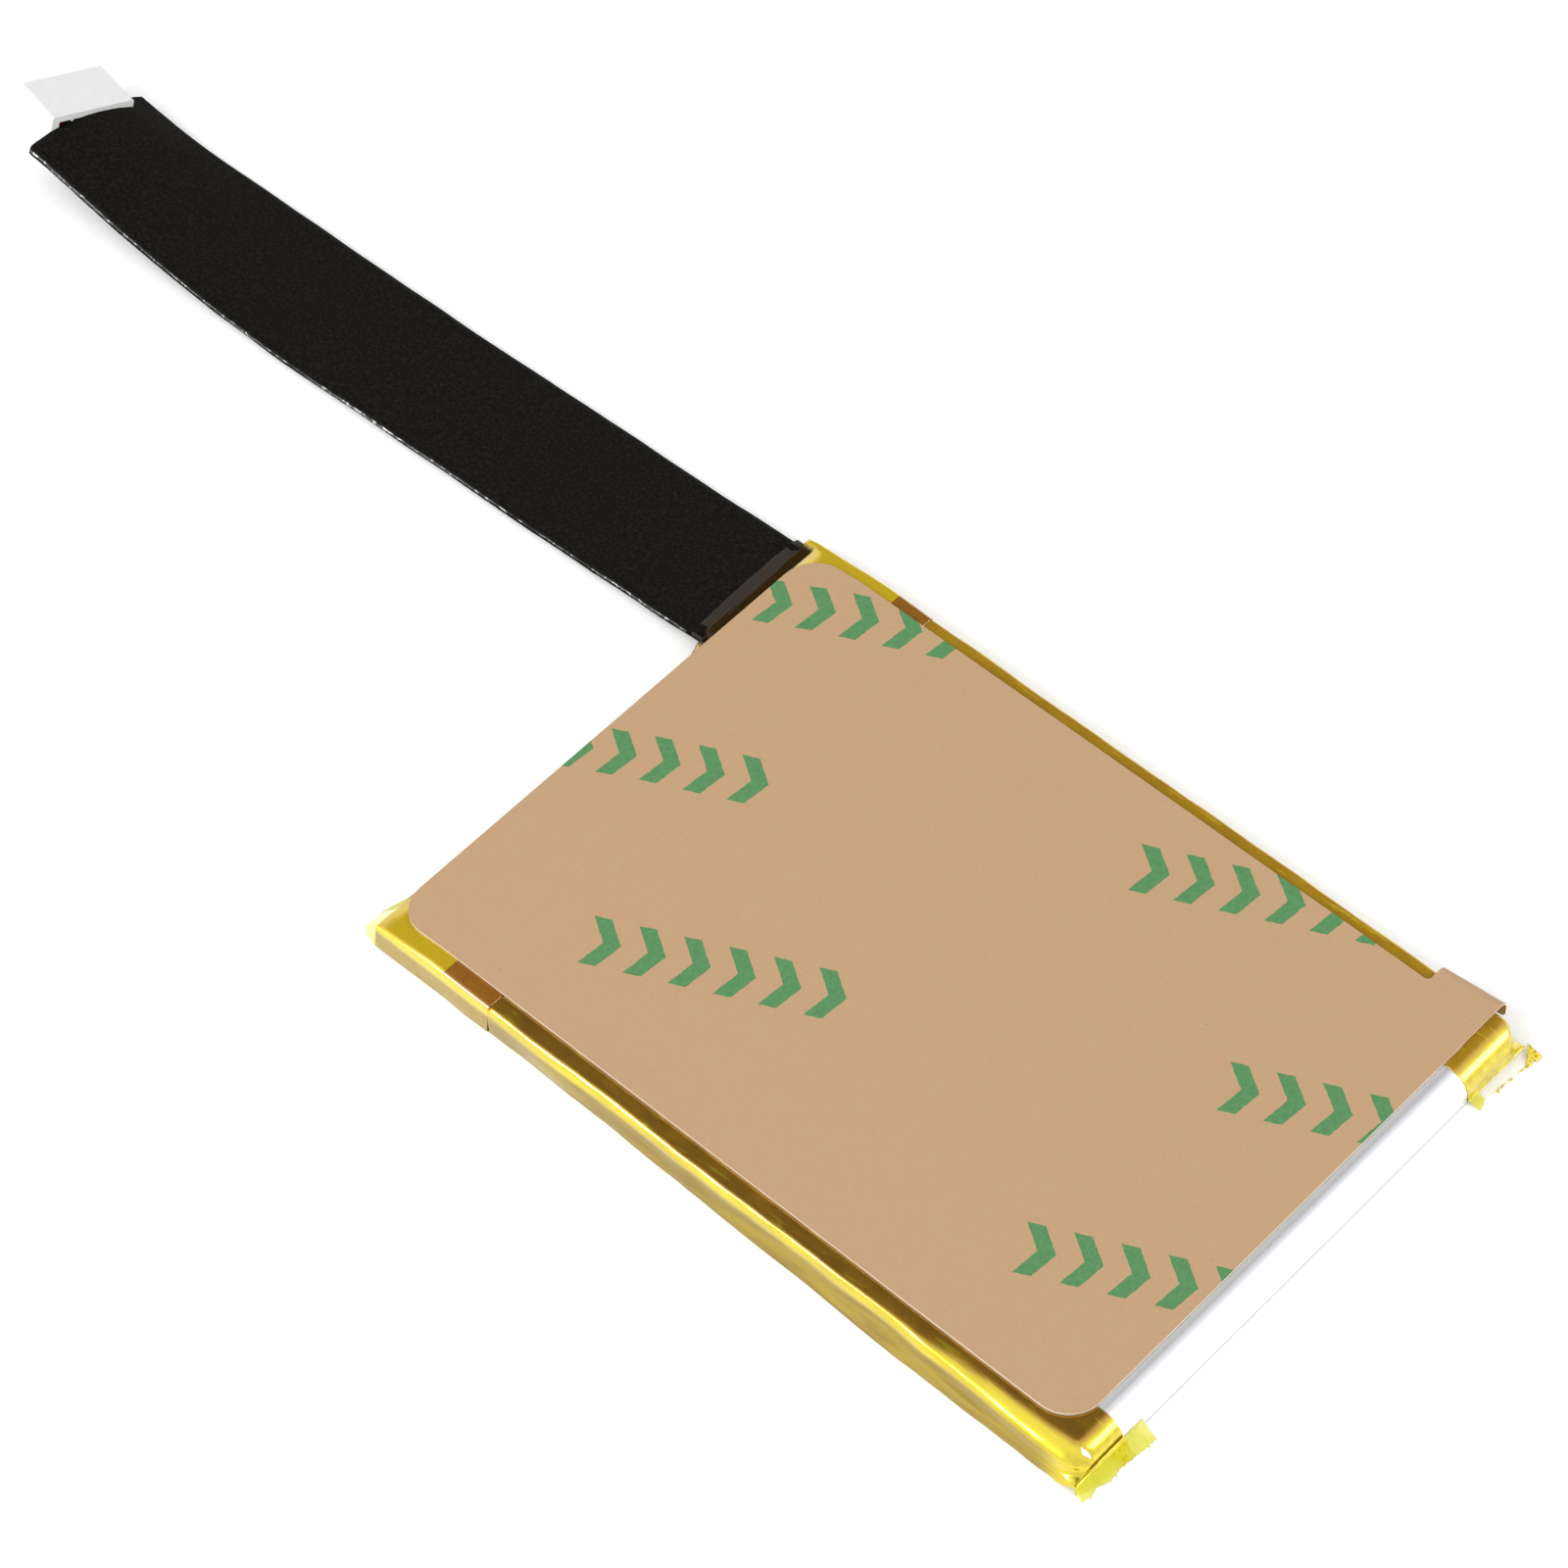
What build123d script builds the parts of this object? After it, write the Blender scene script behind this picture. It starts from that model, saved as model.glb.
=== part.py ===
from build123d import *

import math
import os

# Flat lithium-polymer pouch cell with its protection board and a cloth-covered flat lead.
# Millimetres. The origin is the centre of the pack's underside, +X points to the closed end of
# the pouch, the lead leaves towards -X, and +Z points out of the face with the adhesive sheet.

# --- driving dimensions -------------------------------------------------------------------
PACK_LENGTH = 105.4
POUCH_TOP = 4.0
FILM = 0.1  # polyimide tape
FOIL = 0.15  # aluminium laminate of the pouch
HEAD_END = -PACK_LENGTH / 2
CLOSED_END = PACK_LENGTH / 2

CUP_START = -43.9  # front wall of the drawn cup
CUP_HALF_WIDTH = 36.3
CUP_SHOULDER = 1.2
FOLD_RADIUS = 2.8  # rounded closed end, where the foil is folded over
CORNER_RADIUS = 2.0
FLAP_INNER = 36.4  # side seals, folded up against the cup
FLAP_OUTER = 36.8
FLAP_HEIGHT = 2.5
FLAP_ROOT = 0.4  # height of the bend at the foot of each folded seal
TERRACE_TOP = 0.5  # sealed strip that the tabs pass through
TERRACE_START = -51.1

PLATE_START = -42.6
PLATE_END = 49.2
PLATE_HALF_WIDTH = 35.2
PLATE = 0.12
ANODE_COUNT = 12
CATHODE_COUNT = ANODE_COUNT - 1
SEPARATOR = 0.025
STACK_BOTTOM = 0.3
TAIL_REACH = 1.1  # gathered collector foils, from the plates to their weld
TAIL_NOSE = 0.3
TAIL_RISE = 0.5

TAB_WIDTH = 6.0
TAB = 0.1
TAB_LEVEL = 0.3  # mid-height of both tabs in the seal
NEGATIVE_TAB_Y = -14.0
POSITIVE_TAB_Y = 6.0
SEALANT_WIDTH = 9.0
SEALANT = 0.2
SEALANT_PROUD = 0.25  # how far the sealing films stand out of the terrace
SEALANT_BACK = 0.6  # how far they stop short of the cup
TAB_FOLD = 0.5  # from the board's front edge to the fold of the tabs
TAB_OVER = 3.2  # how far the folded tabs reach back over the board
TAB_LAP = 0.2  # how far the tabs reach under the gathered foils

BOARD_FRONT = -51.0
BOARD_WIDTH = 5.0
BOARD_Y = (-24.0, 34.0)
BOARD_BOTTOM = 0.6
BOARD_TOP = 1.2
INSULATOR_MARGIN = (0.2, 1.0)  # past the back edge and past both ends of the board
PAD = 0.1  # nickel plates for the tabs
PAD_X = (0.3, 4.2)  # from the board's front edge
PAD_WIDTH = 7.0
LEG = 0.15  # thickness of a package's legs
LEG_WIDTH = 0.3
LEG_REACH = 0.6
STANDOFF = 0.1
PACKAGES = {  # place along the board, length, width, height and legs on each side
    "protection_chip": (-7.5, 2.9, 1.6, 1.0, 3),
    "switch_transistors": (-2.2, 4.4, 3.0, 1.0, 4),
    "fuse": (17.5, 3.2, 1.6, 0.7, 0),
    "temperature_sensor": (20.8, 1.6, 0.8, 0.6, 0),
}
CHIP = (0.5, 1.0, 0.4)
CHIP_ROW = 1.4  # from the board's centre line
CHIP_PLACES = [(1, 12.0), (1, 14.0), (-1, 12.0), (-1, 14.5), (1, -20.0), (-1, -20.0)]

WRAP_SHOULDER = 1.5
NEAR_TAPE_START = -40.6
FAR_TAPE_START = -38.6
NEAR_TAPE_EDGE = -30.9  # how far the tapes reach in over the two faces
FAR_TAPE_EDGE = 27.6
TAPE_TAIL = 2.0  # pressed-together ends of the side tapes, past the pouch
END_TAPE_STOP = -33.6
ROOF_BEND = -42.9  # the end tape slopes down from here to the head
ROOF_END = HEAD_END + 1.8
ROOF_DROP = 0.7
NOSE = [(0.2, 0.55), (0.0, 0.8)]  # past the roof: distance from the front, and further drop

LINER_START = -50.9
LINER_END = 49.1
LINER_HALF_WIDTH = 35.0
LINER_CORNER = 4.5
ADHESIVE = 0.15
LINER = 0.15
PULL_TAB_START = 41.0
PULL_TAB_FOLD_Y = 37.0
PULL_TAB_RADIUS = 1.5
PULL_TAB_LOW = 0.9
CREASE_GAP = 0.1  # between the liner and its folded tab
TAB_ROOT_Y = 30.0  # where the tab's flat root joins the liner

WIRE = 1.0
WIRE_PITCH = 2.0
WIRE_COUNT = 5
STRANDS = 0.6  # bare copper in a wire
BARE_END = 1.2
STRAND_LENGTH = 1.5
SOLDER_X = BOARD_FRONT + 3.4
SOLDER = (0.8, 0.45, 0.95)  # radius at the pad, radius at the top, and height
SOLDER_OFFSET = 0.1  # the wire's end lies this far off the middle of its solder
STUB_GAP = 0.1  # between a soldered end and the rest of its wire
LEAD_Y = 26.85
LEAD_Z = 1.75
LEAD_WIDTH = 18.3
LEAD_THICK = 1.8
SLOT_ROOM = (1.4, 1.2)  # room round the wires in the felt, across and up, in wires
COLLAR = 1.2  # lip of the end tape round the root of the lead
COLLAR_ROOM = 0.1
COLLAR_ROOT = 0.5
LEAD_GAP = 1.5  # from the lead's hinge line to its rigid length
LEAD_HINGE = HEAD_END - COLLAR
ROUTE = [
    (LEAD_HINGE - LEAD_GAP, LEAD_Y, LEAD_Z),
    (-68.0, 26.6, 1.15),
    (-86.0, 26.1, 0.96),
    (-106.0, 25.5, 0.95),
    (-124.0, 25.05, 1.0),
    (-138.0, 25.1, 1.3),
    (-149.0, 25.25, 2.05),
    (-154.9, 25.4, 2.85),
    (-159.9, 25.55, 3.6),
]
BEND_SHARE = 0.45  # an arc's tangent length, as a share of its shorter run

HOUSING = (7.6, 11.8, 4.8)
HOUSING_CENTRE = (-165.72, 25.95, 4.52)
HOUSING_ROLL = 17.5
HOUSING_YAW = -12.0
HOUSING_PITCH = -2.0
HOUSING_EDGE = 0.3
MOUTH_WALL = 0.4
CAVITY = (1.7, 1.8)  # across and up
REAR_ROOM = 3.0  # taller back part of each cavity, for the crimps
REAR_START = -0.1
PIN_HOLE = 1.0
WINDOW = (0.9, -2.0, -0.2)  # width, front and back of a latch window in the underside
WINDOW_DEPTH = 0.8  # from the middle of the cavity
RIB = (6.4, 0.8, 0.4)  # polarising ribs on the underside
RIB_INSET = 1.1
RIB_X = -0.6
RIB_SUNK = 0.1
WIRE_ENTRY = 2.4
SPRING_BOX = (2.6, 1.3, 1.4)
SPRING_BORE = (0.9, 1.0)
SPRING_X = -2.1
CRIMP_FLOOR = (3.4, 1.3, 0.1)
CRIMP_PLACE = (0.85, -0.65)

LONG = 400.0  # a cutter that is longer than the whole part
SPARE = 1.0  # how far a shorter cutter runs past what it cuts


# --- helpers ------------------------------------------------------------------------------
def block(x, y, z):
    """A box from its low and high limits along each axis."""
    corner = (Align.MIN, Align.MIN, Align.MIN)
    return Pos(x[0], y[0], z[0]) * Box(x[1] - x[0], y[1] - y[0], z[1] - z[0], align=corner)


def prism_y(points, y0, y1):
    """A solid with an outline in X and Z, from y0 to y1."""
    outline = Plane.XZ * make_face(Polyline(*points, close=True))
    return Pos(0, y1, 0) * extrude(outline, amount=y1 - y0)


def joined(solids):
    """Touching solids as one."""
    first, *rest = solids
    return first.fuse(*rest)


def save(node, *solids):
    """Write one node as a STEP file."""
    body = solids[0] if len(solids) == 1 else Compound(children=list(solids))
    body.label = node
    export_step(body, f"parts/{node}.step")


def shaped_top(half_width, bottom, top, radius):
    """Long prism along X with its two upper edges rounded."""
    side = half_width - radius
    outline = (
        Line((-half_width, bottom), (half_width, bottom))
        + Line((half_width, bottom), (half_width, top - radius))
        + CenterArc((side, top - radius), radius, 0, 90)
        + Line((side, top), (-side, top))
        + CenterArc((-side, top - radius), radius, 90, 90)
        + Line((-half_width, top - radius), (-half_width, bottom))
    )
    return Pos(-LONG / 2, 0, 0) * extrude(Plane.YZ * make_face(outline), amount=LONG)


def envelope(start, end, half_width, bottom, top, shoulder, fold, corner):
    """Outer form of the pouch: rounded shoulders, a rounded closed end and rounded end corners."""
    side_view = make_face(
        Line((start, bottom), (end, bottom))
        + Line((end, bottom), (end, top - fold))
        + CenterArc((end - fold, top - fold), fold, 0, 90)
        + Line((end - fold, top), (start, top))
        + Line((start, top), (start, bottom))
    )
    turn_x = end - corner
    turn_y = half_width - corner
    plan = make_face(
        Line((start, -half_width), (turn_x, -half_width))
        + CenterArc((turn_x, -turn_y), corner, 270, 90)
        + Line((end, -turn_y), (end, turn_y))
        + CenterArc((turn_x, turn_y), corner, 0, 90)
        + Line((turn_x, half_width), (start, half_width))
        + Line((start, half_width), (start, -half_width))
    )
    along = Pos(0, LONG / 2, 0) * extrude(Plane.XZ * side_view, amount=LONG)
    return shaped_top(half_width, bottom, top, shoulder) & along & extrude(plan, amount=LONG)


# --- pouch and what is sealed in it -------------------------------------------------------
def pouch():
    """One sheet of foil laminate: drawn cup, flat cover, side seals folded up, and the terrace."""
    shell = envelope(
        CUP_START, CLOSED_END, CUP_HALF_WIDTH, 0, POUCH_TOP, CUP_SHOULDER, FOLD_RADIUS, CORNER_RADIUS
    )
    terrace = block((TERRACE_START, CUP_START + FOIL), (-CUP_HALF_WIDTH, CUP_HALF_WIDTH), (0, TERRACE_TOP))
    pieces = [shell, terrace]
    flap_end = CLOSED_END - CORNER_RADIUS
    for side in (-1, 1):
        limits = sorted((side * FLAP_INNER, side * FLAP_OUTER))
        root = sorted((side * (CUP_HALF_WIDTH - FOIL), side * FLAP_OUTER))
        pieces.append(block((TERRACE_START, flap_end), limits, (0, FLAP_HEIGHT)))
        pieces.append(block((TERRACE_START, flap_end), root, (0, FLAP_ROOT)))
    cavity = envelope(
        CUP_START + FOIL,
        CLOSED_END - FOIL,
        CUP_HALF_WIDTH - FOIL,
        FILM + FOIL,
        POUCH_TOP - FOIL,
        CUP_SHOULDER - FOIL,
        FOLD_RADIUS - FOIL,
        CORNER_RADIUS - FOIL,
    )
    body = joined(pieces) - cavity
    # the tapes lie in steps of their own thickness, so the underside is flush
    under = (-SPARE, FILM)
    body -= block((HEAD_END, END_TAPE_STOP), (-LONG, LONG), under)
    body -= block((END_TAPE_STOP - SPARE, LONG), (-LONG, NEAR_TAPE_EDGE), under)
    body -= block((END_TAPE_STOP - SPARE, LONG), (FAR_TAPE_EDGE, LONG), under)
    for y in (NEGATIVE_TAB_Y, POSITIVE_TAB_Y):
        through = (TERRACE_START - SPARE, CUP_START + 2 * FOIL)
        body -= seal_space(y, SEALANT_WIDTH, SEALANT, through)
    return body


def seal_space(y, width, thick, x):
    """Straight flat strip at the level of the tabs."""
    level = (TAB_LEVEL - thick / 2, TAB_LEVEL + thick / 2)
    return block(x, (y - width / 2, y + width / 2), level)


def plate_level(index):
    """Underside of a plate in the stack, with a layer of separator under each."""
    return STACK_BOTTOM + SEPARATOR + index * (PLATE + SEPARATOR)


def plates(first, count):
    """Every second plate of the stack."""
    levels = [plate_level(first + 2 * n) for n in range(count)]
    side = (-PLATE_HALF_WIDTH, PLATE_HALF_WIDTH)
    return [block((PLATE_START, PLATE_END), side, (z, z + PLATE)) for z in levels]


def separator():
    """One film folded in a Z between all the plates."""
    layers = ANODE_COUNT + CATHODE_COUNT
    reach = PLATE_HALF_WIDTH + 2 * SEPARATOR
    webs = []
    for n in range(layers + 1):
        z = plate_level(n) - SEPARATOR
        webs.append(block((PLATE_START, PLATE_END), (-reach, reach), (z, z + SEPARATOR)))
        if n < layers:
            side = (reach - SEPARATOR, reach) if n % 2 else (-reach, SEPARATOR - reach)
            webs.append(block((PLATE_START, PLATE_END), side, (z, z + PLATE + 2 * SEPARATOR)))
    return joined(webs)


def tail(y):
    """Collector foils of one polarity, gathered and welded to their tab."""
    top = plate_level(ANODE_COUNT + CATHODE_COUNT - 1)
    low = TAB_LEVEL + TAB / 2
    front = PLATE_START - TAIL_REACH
    points = [(PLATE_START, low), (PLATE_START, top), (front + TAIL_NOSE, low + TAIL_RISE), (front, low)]
    return prism_y(points, y - TAB_WIDTH / 2, y + TAB_WIDTH / 2)


def tab(y):
    """Metal strip from the foils through the seal, folded back over the board."""
    side = (y - TAB_WIDTH / 2, y + TAB_WIDTH / 2)
    fold_x = BOARD_FRONT - TAB_FOLD
    over = BOARD_TOP + PAD
    low = (TAB_LEVEL - TAB / 2, TAB_LEVEL + TAB / 2)
    runs = [
        block((fold_x, PLATE_START - TAB_LAP), side, low),
        block((fold_x, fold_x + TAB), side, (low[0], over + TAB)),
        block((fold_x, BOARD_FRONT + TAB_OVER), side, (over, over + TAB)),
    ]
    return joined(runs)


def sealants():
    """Polypropylene films that seal the foil round each tab."""
    x = (TERRACE_START - SEALANT_PROUD, CUP_START - SEALANT_BACK)
    films = []
    for y in (NEGATIVE_TAB_Y, POSITIVE_TAB_Y):
        slot = seal_space(y, TAB_WIDTH, TAB, (x[0] - SPARE, x[1] + SPARE))
        films.append(seal_space(y, SEALANT_WIDTH, SEALANT, x) - slot)
    return films


# --- protection board ---------------------------------------------------------------------
def board():
    """Glass-epoxy strip that lies on the terrace."""
    return block((BOARD_FRONT, BOARD_FRONT + BOARD_WIDTH), BOARD_Y, (BOARD_BOTTOM, BOARD_TOP))


def insulator():
    """Fish paper between the terrace and the board."""
    back, ends = INSULATOR_MARGIN
    x = (BOARD_FRONT, BOARD_FRONT + BOARD_WIDTH + back)
    return block(x, (BOARD_Y[0] - ends, BOARD_Y[1] + ends), (TERRACE_TOP, BOARD_BOTTOM))


def package(y, length, width, height, legs):
    """Chip package on the board's centre line, with gull-wing legs along both long sides."""
    x = BOARD_FRONT + BOARD_WIDTH / 2
    half = width / 2
    solids = [block((x - half, x + half), (y - length / 2, y + length / 2), (STANDOFF, height))]
    pitch = length / max(legs, 1)
    for n in range(legs):
        leg_y = y + (n + 0.5) * pitch - length / 2
        across = (leg_y - LEG_WIDTH / 2, leg_y + LEG_WIDTH / 2)
        for side in (-1, 1):
            foot = sorted((x + side * half, x + side * (half + LEG_REACH)))
            shank = sorted((x + side * half, x + side * (half + LEG)))
            solids.append(block(foot, across, (0, LEG)))
            solids.append(block(shank, across, (0, height / 2)))
    return Pos(0, 0, BOARD_TOP) * joined(solids)


def chips():
    """Resistors and capacitors, each a small block on the board."""
    across, along, height = CHIP
    solids = []
    for side, y in CHIP_PLACES:
        x = BOARD_FRONT + BOARD_WIDTH / 2 + side * CHIP_ROW
        z = (BOARD_TOP, BOARD_TOP + height)
        solids.append(block((x - across / 2, x + across / 2), (y - along / 2, y + along / 2), z))
    return solids


def nickel_pads():
    """Nickel plates on the board that the tabs are welded to."""
    x = (BOARD_FRONT + PAD_X[0], BOARD_FRONT + PAD_X[1])
    z = (BOARD_TOP, BOARD_TOP + PAD)
    half = PAD_WIDTH / 2
    return [block(x, (y - half, y + half), z) for y in (NEGATIVE_TAB_Y, POSITIVE_TAB_Y)]


# --- lead ---------------------------------------------------------------------------------
def wire_offsets():
    """How far each wire lies from the middle of the lead."""
    return [(n - (WIRE_COUNT - 1) / 2) * WIRE_PITCH for n in range(WIRE_COUNT)]


def wire_stub(offset):
    """Soldered end of one wire: bare strands on the pad, then insulation out to the hinge line."""
    axis = Plane((SOLDER_X, LEAD_Y + offset, LEAD_Z), z_dir=(-1, 0, 0))
    sleeve_length = SOLDER_X - LEAD_HINGE - BARE_END - STUB_GAP
    strands = extrude(axis * Circle(STRANDS / 2), amount=STRAND_LENGTH)
    sleeve = extrude(axis.offset(BARE_END) * Circle(WIRE / 2), amount=sleeve_length)
    return joined([strands, sleeve])


def solder(offset):
    """Solder on one pad, round the bare strands."""
    y = LEAD_Y + offset
    foot = (Align.CENTER, Align.CENTER, Align.MIN)
    blob = Pos(SOLDER_X + SOLDER_OFFSET, y, BOARD_TOP) * Cone(*SOLDER, align=foot)
    strands = Plane((SOLDER_X, y, LEAD_Z), z_dir=(-1, 0, 0))
    return blob - extrude(strands * Circle(STRANDS / 2), amount=STRAND_LENGTH)


def smooth_path(points, name):
    """Straight runs joined by tangent arcs, as large as their runs allow."""
    places = [Vector(*p) for p in points]
    radii = []
    for before, here, after in zip(places, places[1:], places[2:]):
        turn = (here - before).get_angle(after - here)
        shorter = min((here - before).length, (after - here).length)
        radii.append(BEND_SHARE * shorter / math.tan(math.radians(turn / 2)))
    print(name, "radii", [round(r) for r in radii])
    return FilletPolyline(*places, radius=radii)


def ribbon(path, width, thick):
    """Flat strip along a path, level across at its start."""
    start = Plane(path @ 0, x_dir=(0, 1, 0), z_dir=path % 0)
    return sweep(start * Rectangle(width, thick), path=path)


def jacket():
    """Felt tape folded round the wires: closed at the far edge, with a flat slot for the wires."""
    path = smooth_path(ROUTE, "lead")
    outer = ribbon(path, LEAD_WIDTH, LEAD_THICK)
    print("lead length", round(path.length, 1), "mean section", round(outer.volume / path.length, 2))
    slot_width = (WIRE_COUNT - 1) * WIRE_PITCH + SLOT_ROOM[0] * WIRE
    return outer - ribbon(path, slot_width, SLOT_ROOM[1] * WIRE)


def housing_place():
    """Where the plug lies: its mouth points to -X, and the wires come in from +X."""
    turned = Rot(0, 0, HOUSING_YAW) * Rot(0, HOUSING_PITCH, 0) * Rot(-HOUSING_ROLL, 0, 0)
    return Pos(*HOUSING_CENTRE) * turned


def lead_wire(offset):
    """One insulated wire from the root of the lead into the plug."""
    points = [(x, y + offset, z) for x, y, z in ROUTE]
    entry = housing_place() * Pos(WIRE_ENTRY, offset, 0)
    points.append(tuple(entry.position))
    path = smooth_path(points, "wire")
    start = Plane(path @ 0, z_dir=path % 0)
    return sweep(start * Circle(WIRE / 2), path=path)


def housing():
    """Five-way plug with a 2 mm pitch: a cavity for each contact, and polarising ribs below."""
    depth, width, thick = HOUSING
    body = Box(depth, width, thick)
    body = fillet(body.edges().filter_by(Axis.X), HOUSING_EDGE)
    half = CAVITY[0] / 2
    hole = (-PIN_HOLE / 2, PIN_HOLE / 2)
    for y in wire_offsets():
        across = (y - half, y + half)
        body -= block((MOUTH_WALL - depth / 2, depth), across, (-CAVITY[1] / 2, CAVITY[1] / 2))
        body -= block((REAR_START, depth), across, (-REAR_ROOM / 2, REAR_ROOM / 2))
        body -= block((-depth, depth / 2), (y + hole[0], y + hole[1]), hole)
        window = (y - WINDOW[0] / 2, y + WINDOW[0] / 2)
        body -= block(WINDOW[1:], window, (-thick, -WINDOW_DEPTH))
    for side in (-1, 1):
        level = -thick / 2 - RIB[2] / 2 + RIB_SUNK / 2
        rib = Pos(RIB_X, side * (width / 2 - RIB_INSET), level) * Box(RIB[0], RIB[1], RIB[2] + RIB_SUNK)
        body = body.fuse(rib)
    return housing_place() * body


def contact(y):
    """Crimp contact: a spring box at the front and the floor of its crimp behind it."""
    box = Pos(SPRING_X, y, 0) * (Box(*SPRING_BOX) - Box(2 * SPRING_BOX[0], *SPRING_BORE))
    floor = Pos(CRIMP_PLACE[0], y, CRIMP_PLACE[1]) * Box(*CRIMP_FLOOR)
    return housing_place() * joined([box, floor])


# --- tapes, adhesive and liner ------------------------------------------------------------
def side_tape(side):
    """Tape over one long side: in over both faces, over the rounded end, and a pressed tail."""
    grown = envelope(
        -LONG / 2,
        CLOSED_END + FILM,
        FLAP_OUTER + FILM,
        0,
        POUCH_TOP + FILM,
        WRAP_SHOULDER + FILM,
        FOLD_RADIUS + FILM,
        CORNER_RADIUS + FILM,
    )
    held = envelope(
        -LONG / 2,
        CLOSED_END,
        FLAP_OUTER,
        FILM,
        POUCH_TOP,
        WRAP_SHOULDER,
        FOLD_RADIUS,
        CORNER_RADIUS,
    )
    edge = NEAR_TAPE_EDGE if side < 0 else FAR_TAPE_EDGE
    start = NEAR_TAPE_START if side < 0 else FAR_TAPE_START
    across = sorted((edge, side * LONG))
    film = (grown - held) & block((start, LONG), across, (-LONG, LONG))
    film -= block((start - SPARE, END_TAPE_STOP + FILM), (-LONG, LONG), (-SPARE, FILM))
    tail_y = sorted((edge, side * (FLAP_OUTER - CORNER_RADIUS)))
    pressed = block((CLOSED_END, CLOSED_END + TAPE_TAIL), tail_y, (0, 2 * FILM))
    return film.fuse(pressed)


def roof(grow):
    """Side view of the end tape, or with no growth of the room in it: floor, roof and front."""
    top = POUCH_TOP + FILM + grow
    front = HEAD_END + FILM - grow
    back = END_TAPE_STOP + SPARE * (1 - grow / FILM)
    nose = [(front + ahead, top - ROOF_DROP - drop) for ahead, drop in NOSE]
    return [
        (back, FILM - grow),
        (back, top),
        (ROOF_BEND, top),
        (ROOF_END, top - ROOF_DROP),
        *nose,
        (front, FILM - grow),
    ]


def end_tape():
    """Wide tape wound round the head, with a lip round the root of the lead."""
    shape = prism_y(roof(FILM), -LONG, LONG)
    shape &= shaped_top(FLAP_OUTER + 2 * FILM, 0, POUCH_TOP + 2 * FILM, WRAP_SHOULDER + 2 * FILM)
    hollow = prism_y(roof(0), -LONG, LONG)
    hollow &= shaped_top(FLAP_OUTER + FILM, FILM, POUCH_TOP + FILM, WRAP_SHOULDER + FILM)
    half = LEAD_WIDTH / 2 + COLLAR_ROOM
    up = LEAD_THICK / 2 + COLLAR_ROOM
    room_y = (LEAD_Y - half, LEAD_Y + half)
    room_z = (LEAD_Z - up, LEAD_Z + up)
    wall_y = (room_y[0] - FILM, room_y[1] + FILM)
    wall_z = (room_z[0] - FILM, room_z[1] + FILM)
    lip = block((LEAD_HINGE, HEAD_END + FILM), wall_y, wall_z)
    room = block((LEAD_HINGE - SPARE, HEAD_END + COLLAR_ROOT), room_y, room_z)
    return (shape - hollow).fuse(lip) - room


def sheet_outline(square_far_corner):
    """Plan of the adhesive and of the liner, which has its pull tab at the square corner."""
    length = LINER_END - LINER_START
    middle = (LINER_END + LINER_START) / 2
    face = Pos(middle, 0) * Rectangle(length, 2 * LINER_HALF_WIDTH)
    corners = face.vertices()
    if square_far_corner:
        corners = corners.sort_by(lambda v: v.X + v.Y)[:-1]
    return fillet(corners, LINER_CORNER)


def sheet_side(low, high):
    """Side view of a layer on the sloping head and the flat face."""
    return [
        (LINER_START, low - ROOF_DROP),
        (ROOF_BEND, low),
        (LINER_END, low),
        (LINER_END, high),
        (ROOF_BEND, high),
        (LINER_START, high - ROOF_DROP),
    ]


def adhesive_level():
    """The face that the adhesive lies on: the pouch under two layers of tape."""
    return POUCH_TOP + 2 * FILM


def adhesive(tapes):
    """Double-sided sheet, which fills the steps at the edges of the tapes."""
    low = adhesive_level()
    side = prism_y(sheet_side(low, low + ADHESIVE), -LONG, LONG)
    side = side.fuse(block((END_TAPE_STOP, LINER_END), (-LONG, LONG), (POUCH_TOP, low)))
    sheet = side & extrude(sheet_outline(False), amount=LONG)
    for tape in tapes:
        sheet -= tape
    return sheet


def liner():
    """Kraft release liner, with the flat root of its pull tab."""
    low = adhesive_level() + ADHESIVE
    side = prism_y(sheet_side(low, low + LINER), -LONG, LONG)
    sheet = side & extrude(sheet_outline(True), amount=LONG)
    root = block((PULL_TAB_START, LINER_END), (TAB_ROOT_Y, PULL_TAB_FOLD_Y), (low, low + LINER))
    return sheet.fuse(root)


def pull_tab():
    """Free end of the liner, folded down past the pack's side."""
    top = adhesive_level() + ADHESIVE + LINER
    start_y = PULL_TAB_FOLD_Y + CREASE_GAP
    level = top - PULL_TAB_RADIUS
    outer_y = start_y + PULL_TAB_RADIUS
    inner = PULL_TAB_RADIUS - LINER
    outline = (
        CenterArc((start_y, level), PULL_TAB_RADIUS, 0, 90)
        + Line((outer_y, level), (outer_y, PULL_TAB_LOW))
        + Line((outer_y, PULL_TAB_LOW), (outer_y - LINER, PULL_TAB_LOW))
        + Line((outer_y - LINER, PULL_TAB_LOW), (outer_y - LINER, level))
        + CenterArc((start_y, level), inner, 0, 90)
        + Line((start_y, top - LINER), (start_y, top))
    )
    strip = extrude(Plane.YZ * make_face(outline), amount=LINER_END - PULL_TAB_START)
    return Pos(PULL_TAB_START, 0, 0) * strip


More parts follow.
